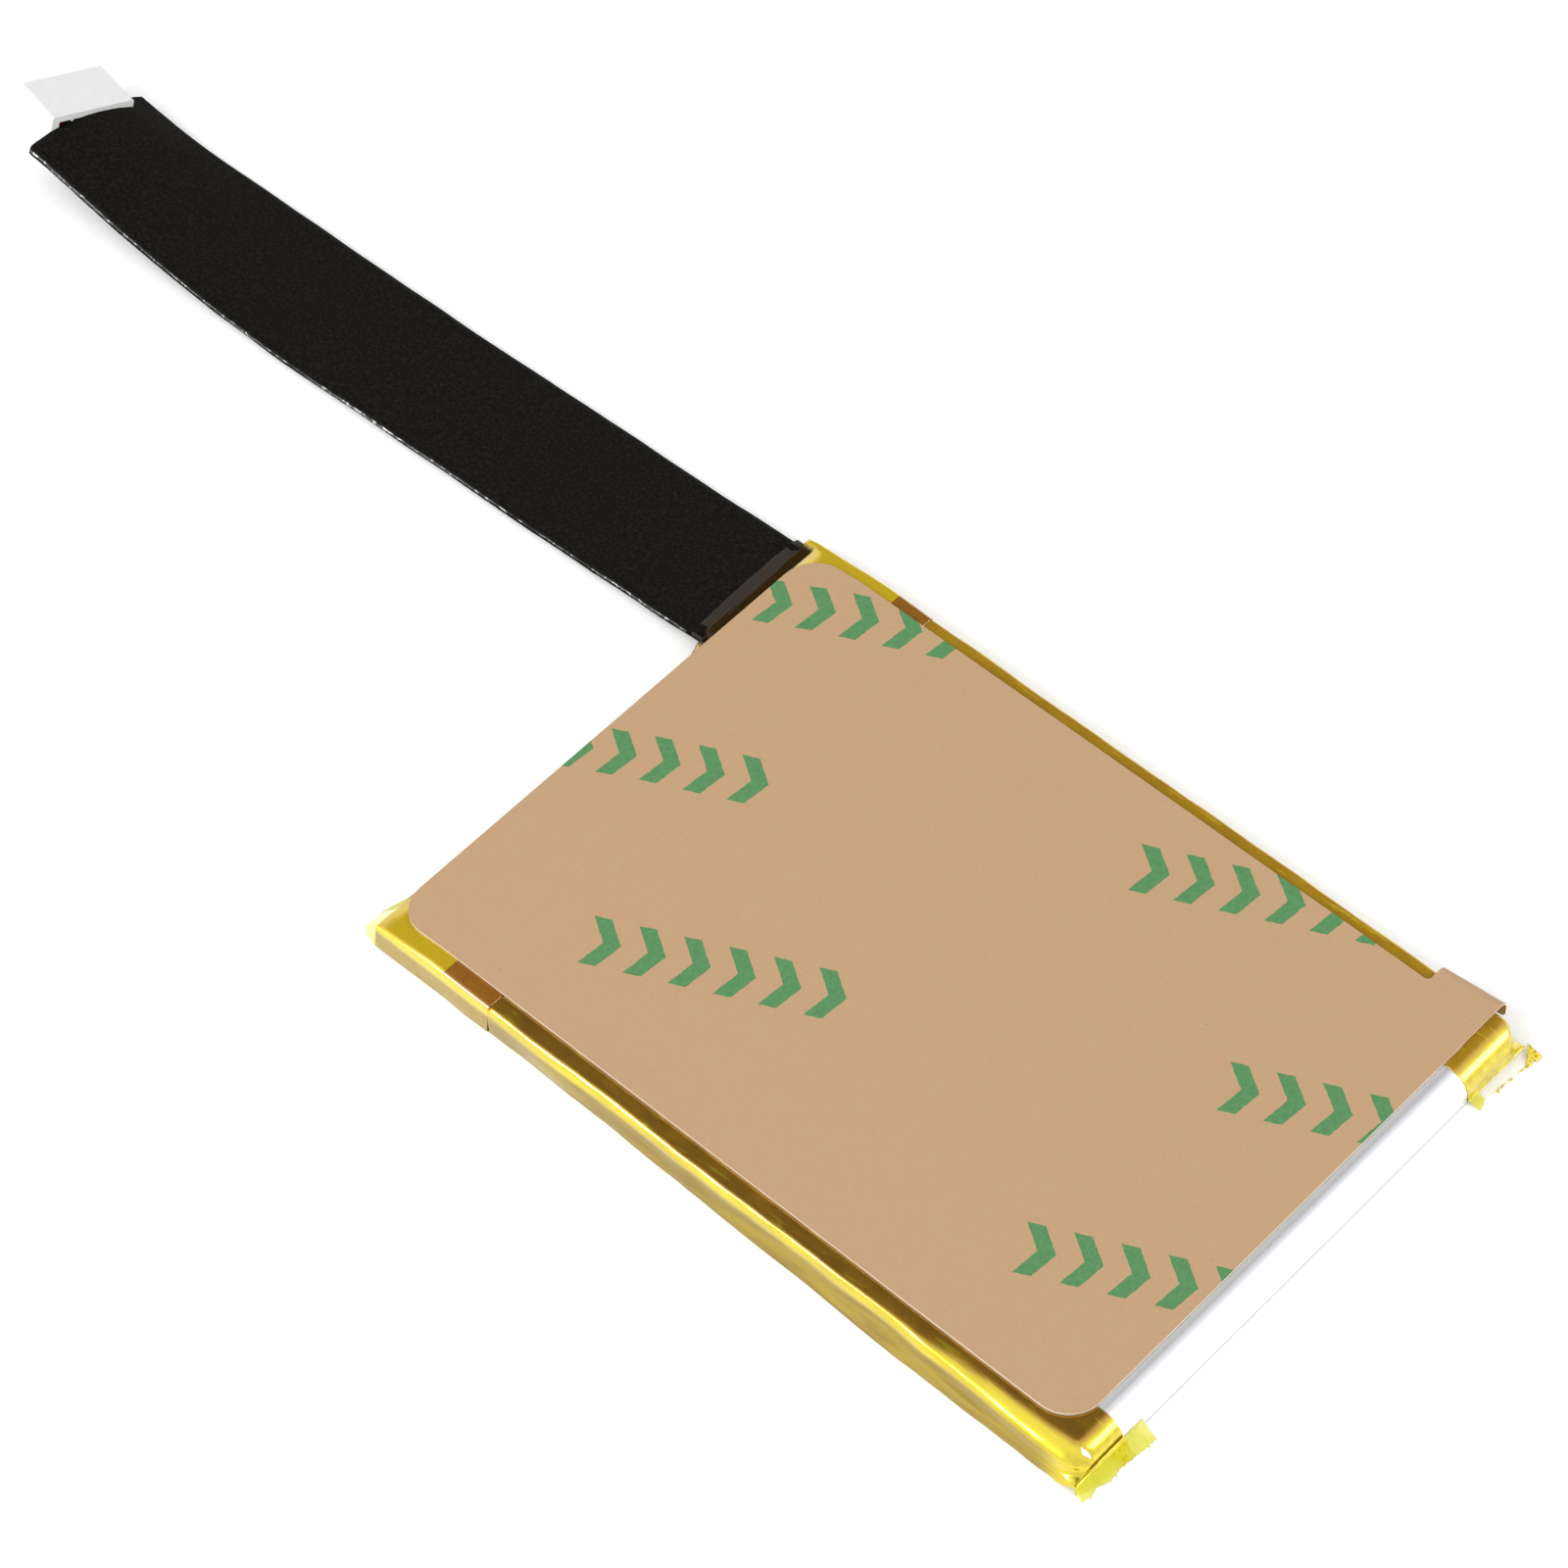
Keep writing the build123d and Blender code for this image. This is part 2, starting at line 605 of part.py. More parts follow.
def main():
    os.makedirs("parts", exist_ok=True)
    save("pouch", pouch())
    save("anode_plates", *plates(0, ANODE_COUNT))
    save("cathode_plates", *plates(1, CATHODE_COUNT))
    save("separator", separator())
    save("negative_tail", tail(NEGATIVE_TAB_Y))
    save("positive_tail", tail(POSITIVE_TAB_Y))
    save("negative_tab", tab(NEGATIVE_TAB_Y))
    save("positive_tab", tab(POSITIVE_TAB_Y))
    save("tab_sealant", *sealants())

    save("circuit_board", board())
    save("board_insulator", insulator())
    save("nickel_pads", *nickel_pads())
    for node, sizes in PACKAGES.items():
        save(node, package(*sizes))
    save("chip_resistors", *chips())
    save("solder_joints", *[solder(offset) for offset in wire_offsets()])
    save("wire_ends", *[wire_stub(offset) for offset in wire_offsets()])

    near = side_tape(-1)
    far = side_tape(1)
    save("side_tape_near", near)
    save("side_tape_far", far)
    save("end_tape", end_tape())
    save("adhesive_sheet", adhesive((near, far)))
    save("release_liner", liner())
    save("liner_pull_tab", pull_tab())

    wires = [lead_wire(offset) for offset in wire_offsets()]
    save("positive_wires", *wires[:2])
    save("sense_wire", wires[2])
    save("negative_wires", *wires[3:])
    save("lead_jacket", jacket())
    save("plug_housing", housing())
    save("plug_contacts", *[contact(y) for y in wire_offsets()])


if __name__ == "__main__":
    main()
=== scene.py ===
import math

import bmesh
import bpy
from mathutils import Matrix, Vector, noise


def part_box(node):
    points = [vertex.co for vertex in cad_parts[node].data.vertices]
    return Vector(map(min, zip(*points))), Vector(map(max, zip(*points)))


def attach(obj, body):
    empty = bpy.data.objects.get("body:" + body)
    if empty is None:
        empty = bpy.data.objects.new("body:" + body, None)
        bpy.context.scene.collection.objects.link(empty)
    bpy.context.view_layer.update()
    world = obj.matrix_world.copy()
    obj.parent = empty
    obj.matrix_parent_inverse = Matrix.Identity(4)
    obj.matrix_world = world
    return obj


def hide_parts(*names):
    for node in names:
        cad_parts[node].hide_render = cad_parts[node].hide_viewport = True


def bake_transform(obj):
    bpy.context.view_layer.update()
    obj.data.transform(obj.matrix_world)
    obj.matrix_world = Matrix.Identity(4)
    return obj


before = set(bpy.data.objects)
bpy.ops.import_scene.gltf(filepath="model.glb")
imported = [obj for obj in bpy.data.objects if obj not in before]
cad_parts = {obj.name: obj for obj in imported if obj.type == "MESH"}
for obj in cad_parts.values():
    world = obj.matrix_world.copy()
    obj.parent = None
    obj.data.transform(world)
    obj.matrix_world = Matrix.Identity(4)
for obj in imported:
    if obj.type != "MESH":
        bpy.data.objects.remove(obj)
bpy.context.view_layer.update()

# Lengths below are in millimetres, in the row frame, and become metres when a mesh is made.
MM = 0.001


def box_mm(node):
    low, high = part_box(node)
    return low / MM, high / MM


# --- places taken from the frame ------------------------------------------------------------
pouch_high = box_mm("pouch")[1]
liner_low, liner_high = box_mm("release_liner")
near_high = box_mm("side_tape_near")[1]
far_low = box_mm("side_tape_far")[0]
end_low, end_high = box_mm("end_tape")
tab_low = box_mm("liner_pull_tab")[0]

FILM = 0.1
COLLAR = 1.2
CLOSED_END = pouch_high.x
HEAD_END = end_low.x + COLLAR
TAPE_TOP = near_high.z
END_TAPE_STOP = end_high.x
NEAR_EDGE = near_high.y
FAR_EDGE = far_low.y
FOLD = 2.8  # radius of the pouch's closed end
NEAR_FLAP_ROOT = 1.7  # height at which the film's free ends leave the closed end
FAR_FLAP_ROOT = 0.5

LINER_THICK = 0.15
LINER_TOP = liner_high.z
LINER_CORNER = 4.5
ROOF_BEND = -42.9
ROOF_END = liner_low.x
ROOF_DROP = 0.7
TAB_FOLD_Y = tab_low.y
TAB_RADIUS = 1.5
TAB_DROP = LINER_TOP - TAB_RADIUS - tab_low.z

LEAD_Y = 26.85
LEAD_Z = 1.75
LEAD_HALF_WIDTH = 9.15
ROUTE = [
    (HEAD_END + 0.2, LEAD_Y, LEAD_Z),
    (-68.0, 26.6, 1.15),
    (-86.0, 26.1, 0.96),
    (-106.0, 25.5, 0.95),
    (-124.0, 25.05, 1.0),
    (-138.0, 25.1, 1.3),
    (-148.5, 25.25, 2.0),
    (-154.7, 25.42, 2.85),
    (-163.0, 25.6, 4.15),
]
WIRE = 1.0
WIRE_PITCH = 2.0


# --- mesh helpers -----------------------------------------------------------------------------
def smooth(t):
    """Smooth step from 0 to 1."""
    t = max(0.0, min(1.0, t))
    return t * t * (3 - 2 * t)


def wave(*place):
    """Soft noise from -1 to 1 at a place of one to three numbers."""
    return noise.noise(Vector((*place, 0.37, 0.71)[:3]))


def steps(low, high, size):
    """Evenly spaced places between two ends, without the ends."""
    count = max(1, round((high - low) / size))
    return [low + (high - low) * n / count for n in range(1, count)]


def rounded(points, rounds=3):
    """A line with its corners cut again and again, so that it runs in curves."""
    for _ in range(rounds):
        cut = [points[0]]
        for a, b in zip(points, points[1:]):
            cut.append(tuple(p + (q - p) * 0.25 for p, q in zip(a, b)))
            cut.append(tuple(p + (q - p) * 0.75 for p, q in zip(a, b)))
        cut.append(points[-1])
        points = cut
    return points


def new_piece(name, points, faces, materials, shade_smooth=True):
    """A mesh object from points in millimetres."""
    mesh = bpy.data.meshes.new(name)
    mesh.from_pydata([tuple(c * MM for c in p) for p in points], [], faces)
    mesh.update()
    for polygon in mesh.polygons:
        polygon.use_smooth = shade_smooth
    for material in materials:
        mesh.materials.append(material)
    piece = bpy.data.objects.new(name, mesh)
    bpy.context.scene.collection.objects.link(piece)
    return piece


def loft(rows, closed=False):
    """Quads between rows of points, as (points, faces)."""
    points = [p for row in rows for p in row]
    width = len(rows[0])
    faces = []
    for r in range(len(rows) - 1):
        for c in range(width if closed else width - 1):
            d = (c + 1) % width
            a = r * width
            faces.append((a + c, a + d, a + width + d, a + width + c))
    return points, faces


def add_part(points, faces, more_points, more_faces):
    """Append a second part to a list of points and faces."""
    base = len(points)
    points.extend(more_points)
    faces.extend(tuple(base + i for i in face) for face in more_faces)


def thicken(piece, thickness):
    """Gives a film its thickness, inwards from the modelled side."""
    modifier = piece.modifiers.new("film", "SOLIDIFY")
    modifier.thickness = thickness * MM
    modifier.offset = -1.0
    depsgraph = bpy.context.evaluated_depsgraph_get()
    mesh = bpy.data.meshes.new_from_object(piece.evaluated_get(depsgraph))
    piece.modifiers.clear()
    piece.data = mesh
    return piece


# --- material helpers -------------------------------------------------------------------------
class Shader:
    """A node material with one Principled shader. Texture places are in millimetres."""

    def __init__(self, name):
        self.material = bpy.data.materials.new(name)
        self.material.use_nodes = True
        self.tree = self.material.node_tree
        self.shader = self.tree.nodes["Principled BSDF"]
        place = self.tree.nodes.new("ShaderNodeTexCoord").outputs["Object"]
        self.mm = self.node("Mapping", {"Vector": place, "Scale": (1 / MM,) * 3}).outputs[0]

    def node(self, kind, inputs=None, **settings):
        made = self.tree.nodes.new("ShaderNode" + kind)
        for key, value in settings.items():
            setattr(made, key, value)
        for key, value in (inputs or {}).items():
            if isinstance(value, bpy.types.NodeSocket):
                self.tree.links.new(value, made.inputs[key])
            else:
                made.inputs[key].default_value = value
        return made

    def math(self, operation, a, b=0.0):
        return self.node("Math", {0: a, 1: b}, operation=operation).outputs[0]

    def axis(self, name, place=None):
        return self.node("SeparateXYZ", {0: place or self.mm}).outputs[name]

    def grain(self, scale, detail=3.0, stretch=(1, 1, 1), rough=0.5, place=None):
        """Noise of 0 to 1 with features of about 1/scale mm, drawn out along the small axes."""
        where = self.node("Mapping", {"Vector": place or self.mm, "Scale": stretch}).outputs[0]
        inputs = {"Vector": where, "Scale": scale, "Detail": detail, "Roughness": rough}
        return self.node("TexNoise", inputs).outputs["Fac"]

    def band(self, value, low, high):
        """0 below low, 1 above high."""
        inputs = {"Value": value, "From Min": low, "From Max": high}
        return self.node("MapRange", inputs, interpolation_type="SMOOTHSTEP").outputs[0]

    def colour(self, factor, low, high):
        """A colour between two, by a factor."""
        mix = self.node("Mix", {"Factor": factor}, data_type="RGBA")
        for socket, value in ((mix.inputs[6], low), (mix.inputs[7], high)):
            if isinstance(value, bpy.types.NodeSocket):
                self.tree.links.new(value, socket)
            else:
                socket.default_value = (*value, 1.0)
        return mix.outputs[2]

    def range(self, factor, low, high):
        """A number between two, by a factor."""
        return self.node("MapRange", {"Value": factor, "To Min": low, "To Max": high}).outputs[0]

    def bumps(self, *layers):
        """Stacked bumps of (height, distance in mm, strength)."""
        normal = None
        for height, distance, strength in layers:
            inputs = {"Height": height, "Distance": distance * MM, "Strength": strength}
            if normal:
                inputs["Normal"] = normal
            normal = self.node("Bump", inputs).outputs[0]
        self.set(Normal=normal)

    def set(self, **sockets):
        for key, value in sockets.items():
            socket = self.shader.inputs[key.replace("_", " ")]
            if isinstance(value, bpy.types.NodeSocket):
                self.tree.links.new(value, socket)
            elif isinstance(value, tuple):
                socket.default_value = (*value, 1.0) if len(value) == 3 else value
            else:
                socket.default_value = value
        return self.material


# --- materials --------------------------------------------------------------------------------
def foil_material():
    """Aluminium laminate: satin nylon face, fine rolling lines and shallow dents, with painted shade
    darkening its foot.
    """
    s = Shader("pouch_foil")
    dents = s.grain(0.12, 2.0)
    lines = s.grain(5.0, 3.0, (0.04, 1, 1))
    specks = s.grain(9.0, 2.0)
    # Painted contact shadow: the base colour turns dark grey near the floor, below about 0.35 mm.
    foot = s.math("SUBTRACT", 1.0, s.band(s.axis("Z"), 0.05, 0.35))
    satin = s.colour(dents, (0.84, 0.85, 0.88), (0.93, 0.93, 0.96))
    s.bumps((dents, 0.20, 0.25), (lines, 0.008, 0.12), (specks, 0.006, 0.10))
    return s.set(
        Base_Color=s.colour(s.math("MULTIPLY", foot, 0.6), satin, (0.30, 0.30, 0.33)),
        Metallic=1.0,
        Roughness=s.range(lines, 0.40, 0.50),
    )


def film_on_foil_material(name, top_light, top_dark, metallic):
    """Amber polyimide film on foil, with painted shade and reflection by height: dark on the flat top, a
    painted yellow highlight on the shoulder, painted darker gold on the side.
    """
    s = Shader(name)
    streaks = s.grain(0.9, 3.0, (0.12, 1, 1))
    cloud = s.grain(0.22, 2.0)
    wrinkles = s.grain(0.55, 4.0, (0.25, 1, 1), 0.6)
    bubbles = s.grain(3.2, 2.0)
    crinkle_highlights = s.band(s.grain(0.8, 3.0, (0.22, 1.6, 1.6), 0.6), 0.60, 0.66)
    tone = s.math("MULTIPLY", s.band(cloud, 0.3, 0.75), s.band(streaks, 0.2, 0.8))
    top = s.colour(tone, top_dark, top_light)
    # Painted highlight: lighter yellow lines on the top where crinkles would catch light.
    top = s.colour(s.math("MULTIPLY", crinkle_highlights, 0.6), top, (0.74, 0.56, 0.006))
    # Painted shade and highlight by height: the flat top above about 4 mm takes the darkest tones, the
    # shoulder a lighter yellow, the side below 2.4 to 3.2 mm a darker gold, except towards the closed end.
    shoulder = s.colour(s.band(streaks, 0.3, 0.7), (0.76, 0.62, 0.005), (0.60, 0.46, 0.003))
    side = s.colour(s.band(streaks, 0.35, 0.65), (0.38, 0.26, 0.003), (0.28, 0.18, 0.002))
    z = s.axis("Z")
    low = s.math("SUBTRACT", 1.0, s.band(z, 2.4, 3.2))
    low = s.math("MULTIPLY", low, s.math("SUBTRACT", 1.0, s.band(s.axis("X"), 47.0, 51.0)))
    lower = s.colour(low, shoulder, side)
    s.bumps((wrinkles, 0.12, 0.45), (bubbles, 0.02, 0.25))
    return s.set(
        Base_Color=s.colour(s.band(z, 3.80, 4.06), lower, top),
        Metallic=metallic,
        Roughness=s.range(streaks, 0.12, 0.24),
        Coat_Weight=1.0,
        Coat_Roughness=0.04,
        Coat_IOR=1.6,
    )


def end_film_material():
    """The end tape: yellow over the head, brown on a side tape's top, black-brown on the lead, with painted
    shade on its side wall and a painted highlight on its shoulder.
    """
    s = Shader("film_on_head")
    streaks = s.grain(0.9, 3.0, (1, 0.2, 1))
    mottle = s.grain(1.6, 4.0, rough=0.7)
    x, y, z = s.axis("X"), s.axis("Y"), s.axis("Z")
    is_far = s.band(y, -1.0, 1.0)
    near_overlap = s.band(x, -40.75, -40.55)
    far_overlap = s.band(x, -38.75, -38.55)
    overlap = s.node("Mix", {0: is_far, 2: near_overlap, 3: far_overlap}, data_type="FLOAT").outputs[0]
    roof = s.math("MULTIPLY", 0.085, s.math("MAXIMUM", s.math("SUBTRACT", ROOF_BEND, x), 0.0))
    on_top = s.band(s.math("ADD", z, roof), 3.80, 4.10)
    double = s.math(
        "MULTIPLY", overlap, s.math("MULTIPLY", on_top, s.band(s.math("ABSOLUTE", y), 27.0, 31.0))
    )
    on_lead = s.math("MULTIPLY", s.band(y, 16.9, 17.7), s.math("SUBTRACT", 1.0, s.band(y, 35.4, 36.3)))
    on_lead = s.math("MULTIPLY", on_lead, s.math("SUBTRACT", 1.0, s.band(x, -51.35, -50.95)))
    single_tone = s.colour(mottle, (0.70, 0.50, 0.003), (0.55, 0.37, 0.002))
    # Painted shade and highlight by height: darker gold on the side wall below 2.4 to 3.2 mm, lighter yellow
    # on the shoulder above it.
    wall_shade_and_highlight = s.colour(streaks, (0.38, 0.26, 0.003), (0.28, 0.18, 0.002))
    wall_shade_and_highlight = s.colour(s.band(z, 2.4, 3.2), wall_shade_and_highlight, (0.70, 0.54, 0.005))
    single_tone = s.colour(on_top, wall_shade_and_highlight, single_tone)
    double_tone = s.colour(mottle, (0.44, 0.17, 0.001), (0.20, 0.065, 0.001))
    lead_tone = s.colour(mottle, (0.040, 0.020, 0.001), (0.008, 0.004, 0.001))
    wrinkles = s.grain(0.5, 4.0, (1, 0.35, 1), 0.6)
    near_corner = s.math("SUBTRACT", 1.0, s.band(y, -31.5, -29.5))
    near_corner = s.math("MULTIPLY", near_corner, s.math("SUBTRACT", 1.0, s.band(x, -51.3, -50.9)))
    single_tone = s.colour(near_corner, single_tone, (0.92, 0.88, 0.20))
    s.bumps((wrinkles, 0.14, 0.45), (mottle, 0.02, 0.25))
    return s.set(
        Base_Color=s.colour(on_lead, s.colour(double, single_tone, double_tone), lead_tone),
        Metallic=s.range(on_lead, 0.40, 0.0),
        Roughness=s.range(streaks, 0.12, 0.3),
        Specular_IOR_Level=s.range(on_lead, 0.5, 0.1),
        Coat_Weight=s.range(on_lead, 1.0, 0.1),
        Coat_Roughness=0.04,
        Coat_IOR=1.6,
    )


def free_film_material(name, light, dark, cover, dirt):
    """Film with nothing under it, with dust and specks held in its glue."""
    s = Shader(name)
    dust = s.math("MULTIPLY", s.band(s.grain(3.6, 4.0, rough=0.65), 0.60, 0.66), dirt)
    cloud = s.grain(1.2, 3.0)
    s.bumps((s.grain(1.1, 4.0, rough=0.6), 0.12, 0.5), (s.grain(6.0, 2.0), 0.02, 0.4))
    return s.set(
        Base_Color=s.colour(dust, s.colour(cloud, light, dark), (0.16, 0.09, 0.008)),
        Alpha=s.range(dust, cover, 0.95),
        Roughness=s.range(cloud, 0.3, 0.5),
        Specular_IOR_Level=0.15,
        Coat_Weight=0.08,
        Coat_Roughness=0.05,
    )


def torn_film_material():
    """Clear end of the far tape: brown-yellow only at its corner and along its torn edge."""
    s = Shader("torn_clear_film")
    x, y = s.axis("X"), s.axis("Y")
    edge = s.math("ADD", 54.15, s.math("MULTIPLY", 0.103, s.math("SUBTRACT", y, 28.4)))
    rim = s.band(s.math("SUBTRACT", x, edge), -0.50, -0.22)
    broken = s.band(s.grain(1.5, 3.0, rough=0.6), 0.40, 0.50)
    along = s.band(y, 29.5, 33.0)
    corner = s.band(s.math("ADD", y, s.math("MULTIPLY", 1.4, s.math("SUBTRACT", x, 54.0))), 36.3, 37.1)
    cover = s.math("MAXIMUM", corner, s.math("MULTIPLY", along, s.math("MULTIPLY", rim, broken)))
    dirt = s.band(s.grain(3.0, 4.0, rough=0.65), 0.48, 0.60)
    s.bumps((s.grain(1.3, 4.0, rough=0.6), 0.14, 0.6))
    return s.set(
        Base_Color=s.colour(dirt, (0.84, 0.68, 0.02), (0.30, 0.16, 0.01)),
        Alpha=s.range(cover, 0.03, 0.92),
        Roughness=s.range(dirt, 0.12, 0.3),
        Coat_Weight=s.range(cover, 0.05, 0.8),
        Coat_Roughness=0.05,
    )


def printed_marks(s, place):
    """Rows of six thick chevrons, at a slant across the sheet, from 0 to 1."""
    slant = math.radians(26.5)
    row_pitch, block_pitch, row_shift = 26.1, 72.7, 16.3
    mark_pitch, marks_half, mark_half, lean, ink_share = 5.2, 15.6, 3.3, 0.6, 0.40
    turned = s.node("VectorRotate", {"Vector": place, "Angle": -slant}, rotation_type="Z_AXIS").outputs[0]
    along = s.math("ADD", s.axis("X", turned), 21.3)
    across = s.math("ADD", s.axis("Y", turned), 6.7)
    row = s.math("ROUND", s.math("DIVIDE", across, row_pitch))
    across = s.math("SUBTRACT", across, s.math("MULTIPLY", row, row_pitch))
    odd = s.math("ABSOLUTE", s.math("MODULO", row, 2.0))
    along = s.math("ADD", along, s.math("MULTIPLY", odd, row_shift))
    block = s.math("ROUND", s.math("DIVIDE", along, block_pitch))
    along = s.math("SUBTRACT", along, s.math("MULTIPLY", block, block_pitch))
    across = s.math("ABSOLUTE", across)
    skewed = s.math("ADD", along, s.math("MULTIPLY", across, lean))
    step = s.math("DIVIDE", s.math("ADD", skewed, marks_half), mark_pitch)
    inside = s.math("LESS_THAN", s.math("ABSOLUTE", skewed), marks_half)
    inside = s.math("MULTIPLY", inside, s.math("LESS_THAN", across, mark_half))
    inked = s.math("LESS_THAN", s.math("FRACT", step), ink_share)
    return s.math("MULTIPLY", inked, inside)


def kraft_material():
    """Smooth brown liner paper with fine fibres, specks and green printed marks."""
    s = Shader("kraft_paper")
    flat = s.node("UVMap", uv_map="flat").outputs[0]
    place = s.node("Mapping", {"Vector": flat, "Scale": (1 / MM,) * 3}).outputs[0]
    fibres = s.grain(3.2, 5.0, (0.45, 1, 1), 0.7, place)
    cross = s.grain(2.6, 4.0, (1, 0.5, 1), 0.65, place)
    cloud = s.grain(0.16, 3.0, place=place)
    mottle = s.grain(0.55, 4.0, (1, 0.6, 1), 0.6, place)
    dark_specks = s.band(s.grain(1.9, 2.0, place=place), 0.735, 0.77)
    pale_specks = s.band(s.grain(2.3, 1.0, (1.7, 1, 1), place=place), 0.75, 0.79)
    base = s.colour(s.band(fibres, 0.3, 0.7), (0.408, 0.254, 0.141), (0.440, 0.279, 0.160))
    base = s.colour(s.range(cloud, 0.0, 0.35), base, (0.432, 0.252, 0.146))
    base = s.colour(s.range(s.band(mottle, 0.35, 0.65), 0.0, 0.55), base, (0.405, 0.278, 0.152))
    base = s.colour(s.math("MULTIPLY", dark_specks, 0.45), base, (0.20, 0.10, 0.045))
    base = s.colour(s.math("MULTIPLY", pale_specks, 0.35), base, (0.56, 0.45, 0.34))
    wobble = s.node("TexNoise", {"Vector": place, "Scale": 1.5, "Detail": 3.0}).outputs["Color"]
    bled = s.node("VectorMath", {0: wobble, 1: (0.25, 0.25, 0.0), 2: place}, operation="MULTIPLY_ADD")
    marks = printed_marks(s, bled.outputs[0])
    ink = s.colour(s.band(cross, 0.3, 0.7), (0.045, 0.185, 0.062), (0.068, 0.232, 0.086))
    cover = s.math("MULTIPLY", marks, s.range(fibres, 0.90, 1.0))
    s.bumps((fibres, 0.02, 0.25), (cross, 0.012, 0.18), (cloud, 0.12, 0.2))
    return s.set(
        Base_Color=s.colour(cover, base, ink),
        Roughness=s.range(cross, 0.50, 0.68),
        Specular_IOR_Level=0.3,
    )


def paper_edge_material():
    s = Shader("paper_cut_edge")
    fibres = s.grain(6.0, 4.0)
    s.bumps((fibres, 0.03, 0.5))
    return s.set(
        Base_Color=s.colour(fibres, (0.80, 0.60, 0.40), (0.95, 0.80, 0.62)),
        Roughness=0.85,
    )


def felt_material():
    """Black needled felt: matte, with short tangled fibres that catch a little brown light."""
    s = Shader("black_felt")
    tangle = s.grain(2.6, 6.0, rough=0.75)
    fibres = s.grain(6.5, 4.0, (0.5, 1, 1), 0.7)
    worn = s.grain(0.10, 3.0)
    lint = s.band(s.grain(3.4, 1.0), 0.80, 0.84)
    tone = s.colour(s.band(tangle, 0.42, 0.72), (0.0010, 0.0009, 0.0008), (0.0180, 0.0160, 0.0125))
    tone = s.colour(s.range(worn, 0.0, 0.35), tone, (0.0058, 0.0052, 0.0040))
    tone = s.colour(s.math("MULTIPLY", lint, 0.35), tone, (0.20, 0.19, 0.17))
    s.bumps((tangle, 0.30, 0.9), (fibres, 0.08, 0.6))
    return s.set(
        Base_Color=tone,
        Roughness=0.96,
        Specular_IOR_Level=0.08,
        Sheen_Weight=0.03,
        Sheen_Roughness=0.5,
        Sheen_Tint=(0.5, 0.46, 0.38),
    )


def glint_material():
    """Line of tacky glue between the two layers of felt, glossier in spots, with painted glints: light grey
    spots in its colour.
    """
    s = Shader("felt_glue_with_painted_glints")
    painted_glints = s.band(s.grain(1.2, 4.0, rough=0.7), 0.54, 0.60)
    s.bumps((s.grain(1.8, 3.0), 0.2, 0.8))
    return s.set(
        # Painted glints: light grey spots in the base colour of the otherwise black glue.
        Base_Color=s.colour(painted_glints, (0.010, 0.010, 0.009), (0.55, 0.55, 0.54)),
        Roughness=s.range(painted_glints, 0.7, 0.15),
        Coat_Weight=0.5,
        Coat_Roughness=0.1,
    )


def plain_material(
    name, low, high, grain=4.0, rough=(0.4, 0.6), metallic=0.0, bump=0.03, coat=0.0,
    alpha=1.0, stretch=(1, 1, 1),
):
    """A mottled, slightly uneven surface: two close colours, roughness and bump from one grain."""
    s = Shader(name)
    fine = s.grain(grain, 4.0, stretch, 0.6)
    broad = s.grain(grain * 0.12, 2.0)
    tone = s.colour(s.range(broad, 0.0, 1.0), low, high)
    tone = s.colour(s.range(fine, 0.0, 0.35), tone, low)
    s.bumps((fine, bump, 0.4), (broad, bump * 3, 0.2))
    return s.set(
        Base_Color=tone,
        Roughness=s.range(fine, *rough),
        Metallic=metallic,
        Coat_Weight=coat,
        Coat_Roughness=0.1,
        Alpha=alpha,
    )


def board_material():
    """Green solder mask with faint copper tracks under it."""
    s = Shader("board_laminate")
    tracks = s.node(
        "TexWave", {"Vector": s.mm, "Scale": 0.35, "Distortion": 0.6}, bands_direction="X"
    ).outputs["Fac"]
    weave = s.grain(4.0, 2.0, (1, 0.2, 1))
    copper = s.band(tracks, 0.62, 0.66)
    s.bumps((copper, 0.04, 0.4), (weave, 0.01, 0.3))
    return s.set(
        Base_Color=s.colour(copper, (0.010, 0.085, 0.035), (0.030, 0.170, 0.070)),
        Roughness=s.range(weave, 0.22, 0.38),
        Coat_Weight=0.6,
        Coat_Roughness=0.08,
    )


# --- pieces: tapes ----------------------------------------------------------------------------
def wrapped_section(side, inner, x, top, base, out, tuck=0.0):
    """Film round one long side, as (x, y, z): in over the top, down the side and back below."""
    height = top - base
    slack = smooth((x - 22) / 28) if side < 0 else 0.0
    shoulder = (37.05 if side < 0 else 36.6) + 0.75 * slack
    outline = [
        (inner, 1.0),
        (35.2 - tuck, 1.0),
        (36.3 - tuck, 1.0 - 0.03 * slack),
        (shoulder - tuck, 1.0 - 0.20 * slack),
        (shoulder + 0.35 - tuck, 0.93 - 0.24 * slack),
        (shoulder + 0.52 - tuck, 0.80 - 0.26 * slack),
        (shoulder + 0.58 - 0.6 * tuck, 0.56 - 0.18 * slack),
        (0.5 * (shoulder + 0.5 + out) - 0.1 * tuck, 0.30),
        (out - 0.1, 0.08),
        (out - 0.05, 0.0),
        (36.4, 0.0),
        (inner, 0.0),
    ]
    section = []
    for y, z in rounded(outline):
        free = smooth((abs(y) - 35.3) / 1.2)
        ripple = wave(x * 0.10, z * 1.3 + side * 7, y * 0.10) + 0.5 * wave(x * 0.31, z * 2.1, 3.0 * side)
        y += 0.16 * ripple * free * min(1.0, height / 2)
        z = base + height * z + 0.05 * ripple * free * z
        section.append((x, side * y, z))
    return section


def near_out(x):
    """How far the near tape stands out at its foot: it is looser towards the closed end."""
    return 37.75 + 1.25 * smooth((x + 35) / 75)


def far_out(x):
    return 37.15 + 0.45 * smooth((x + 10) / 60)


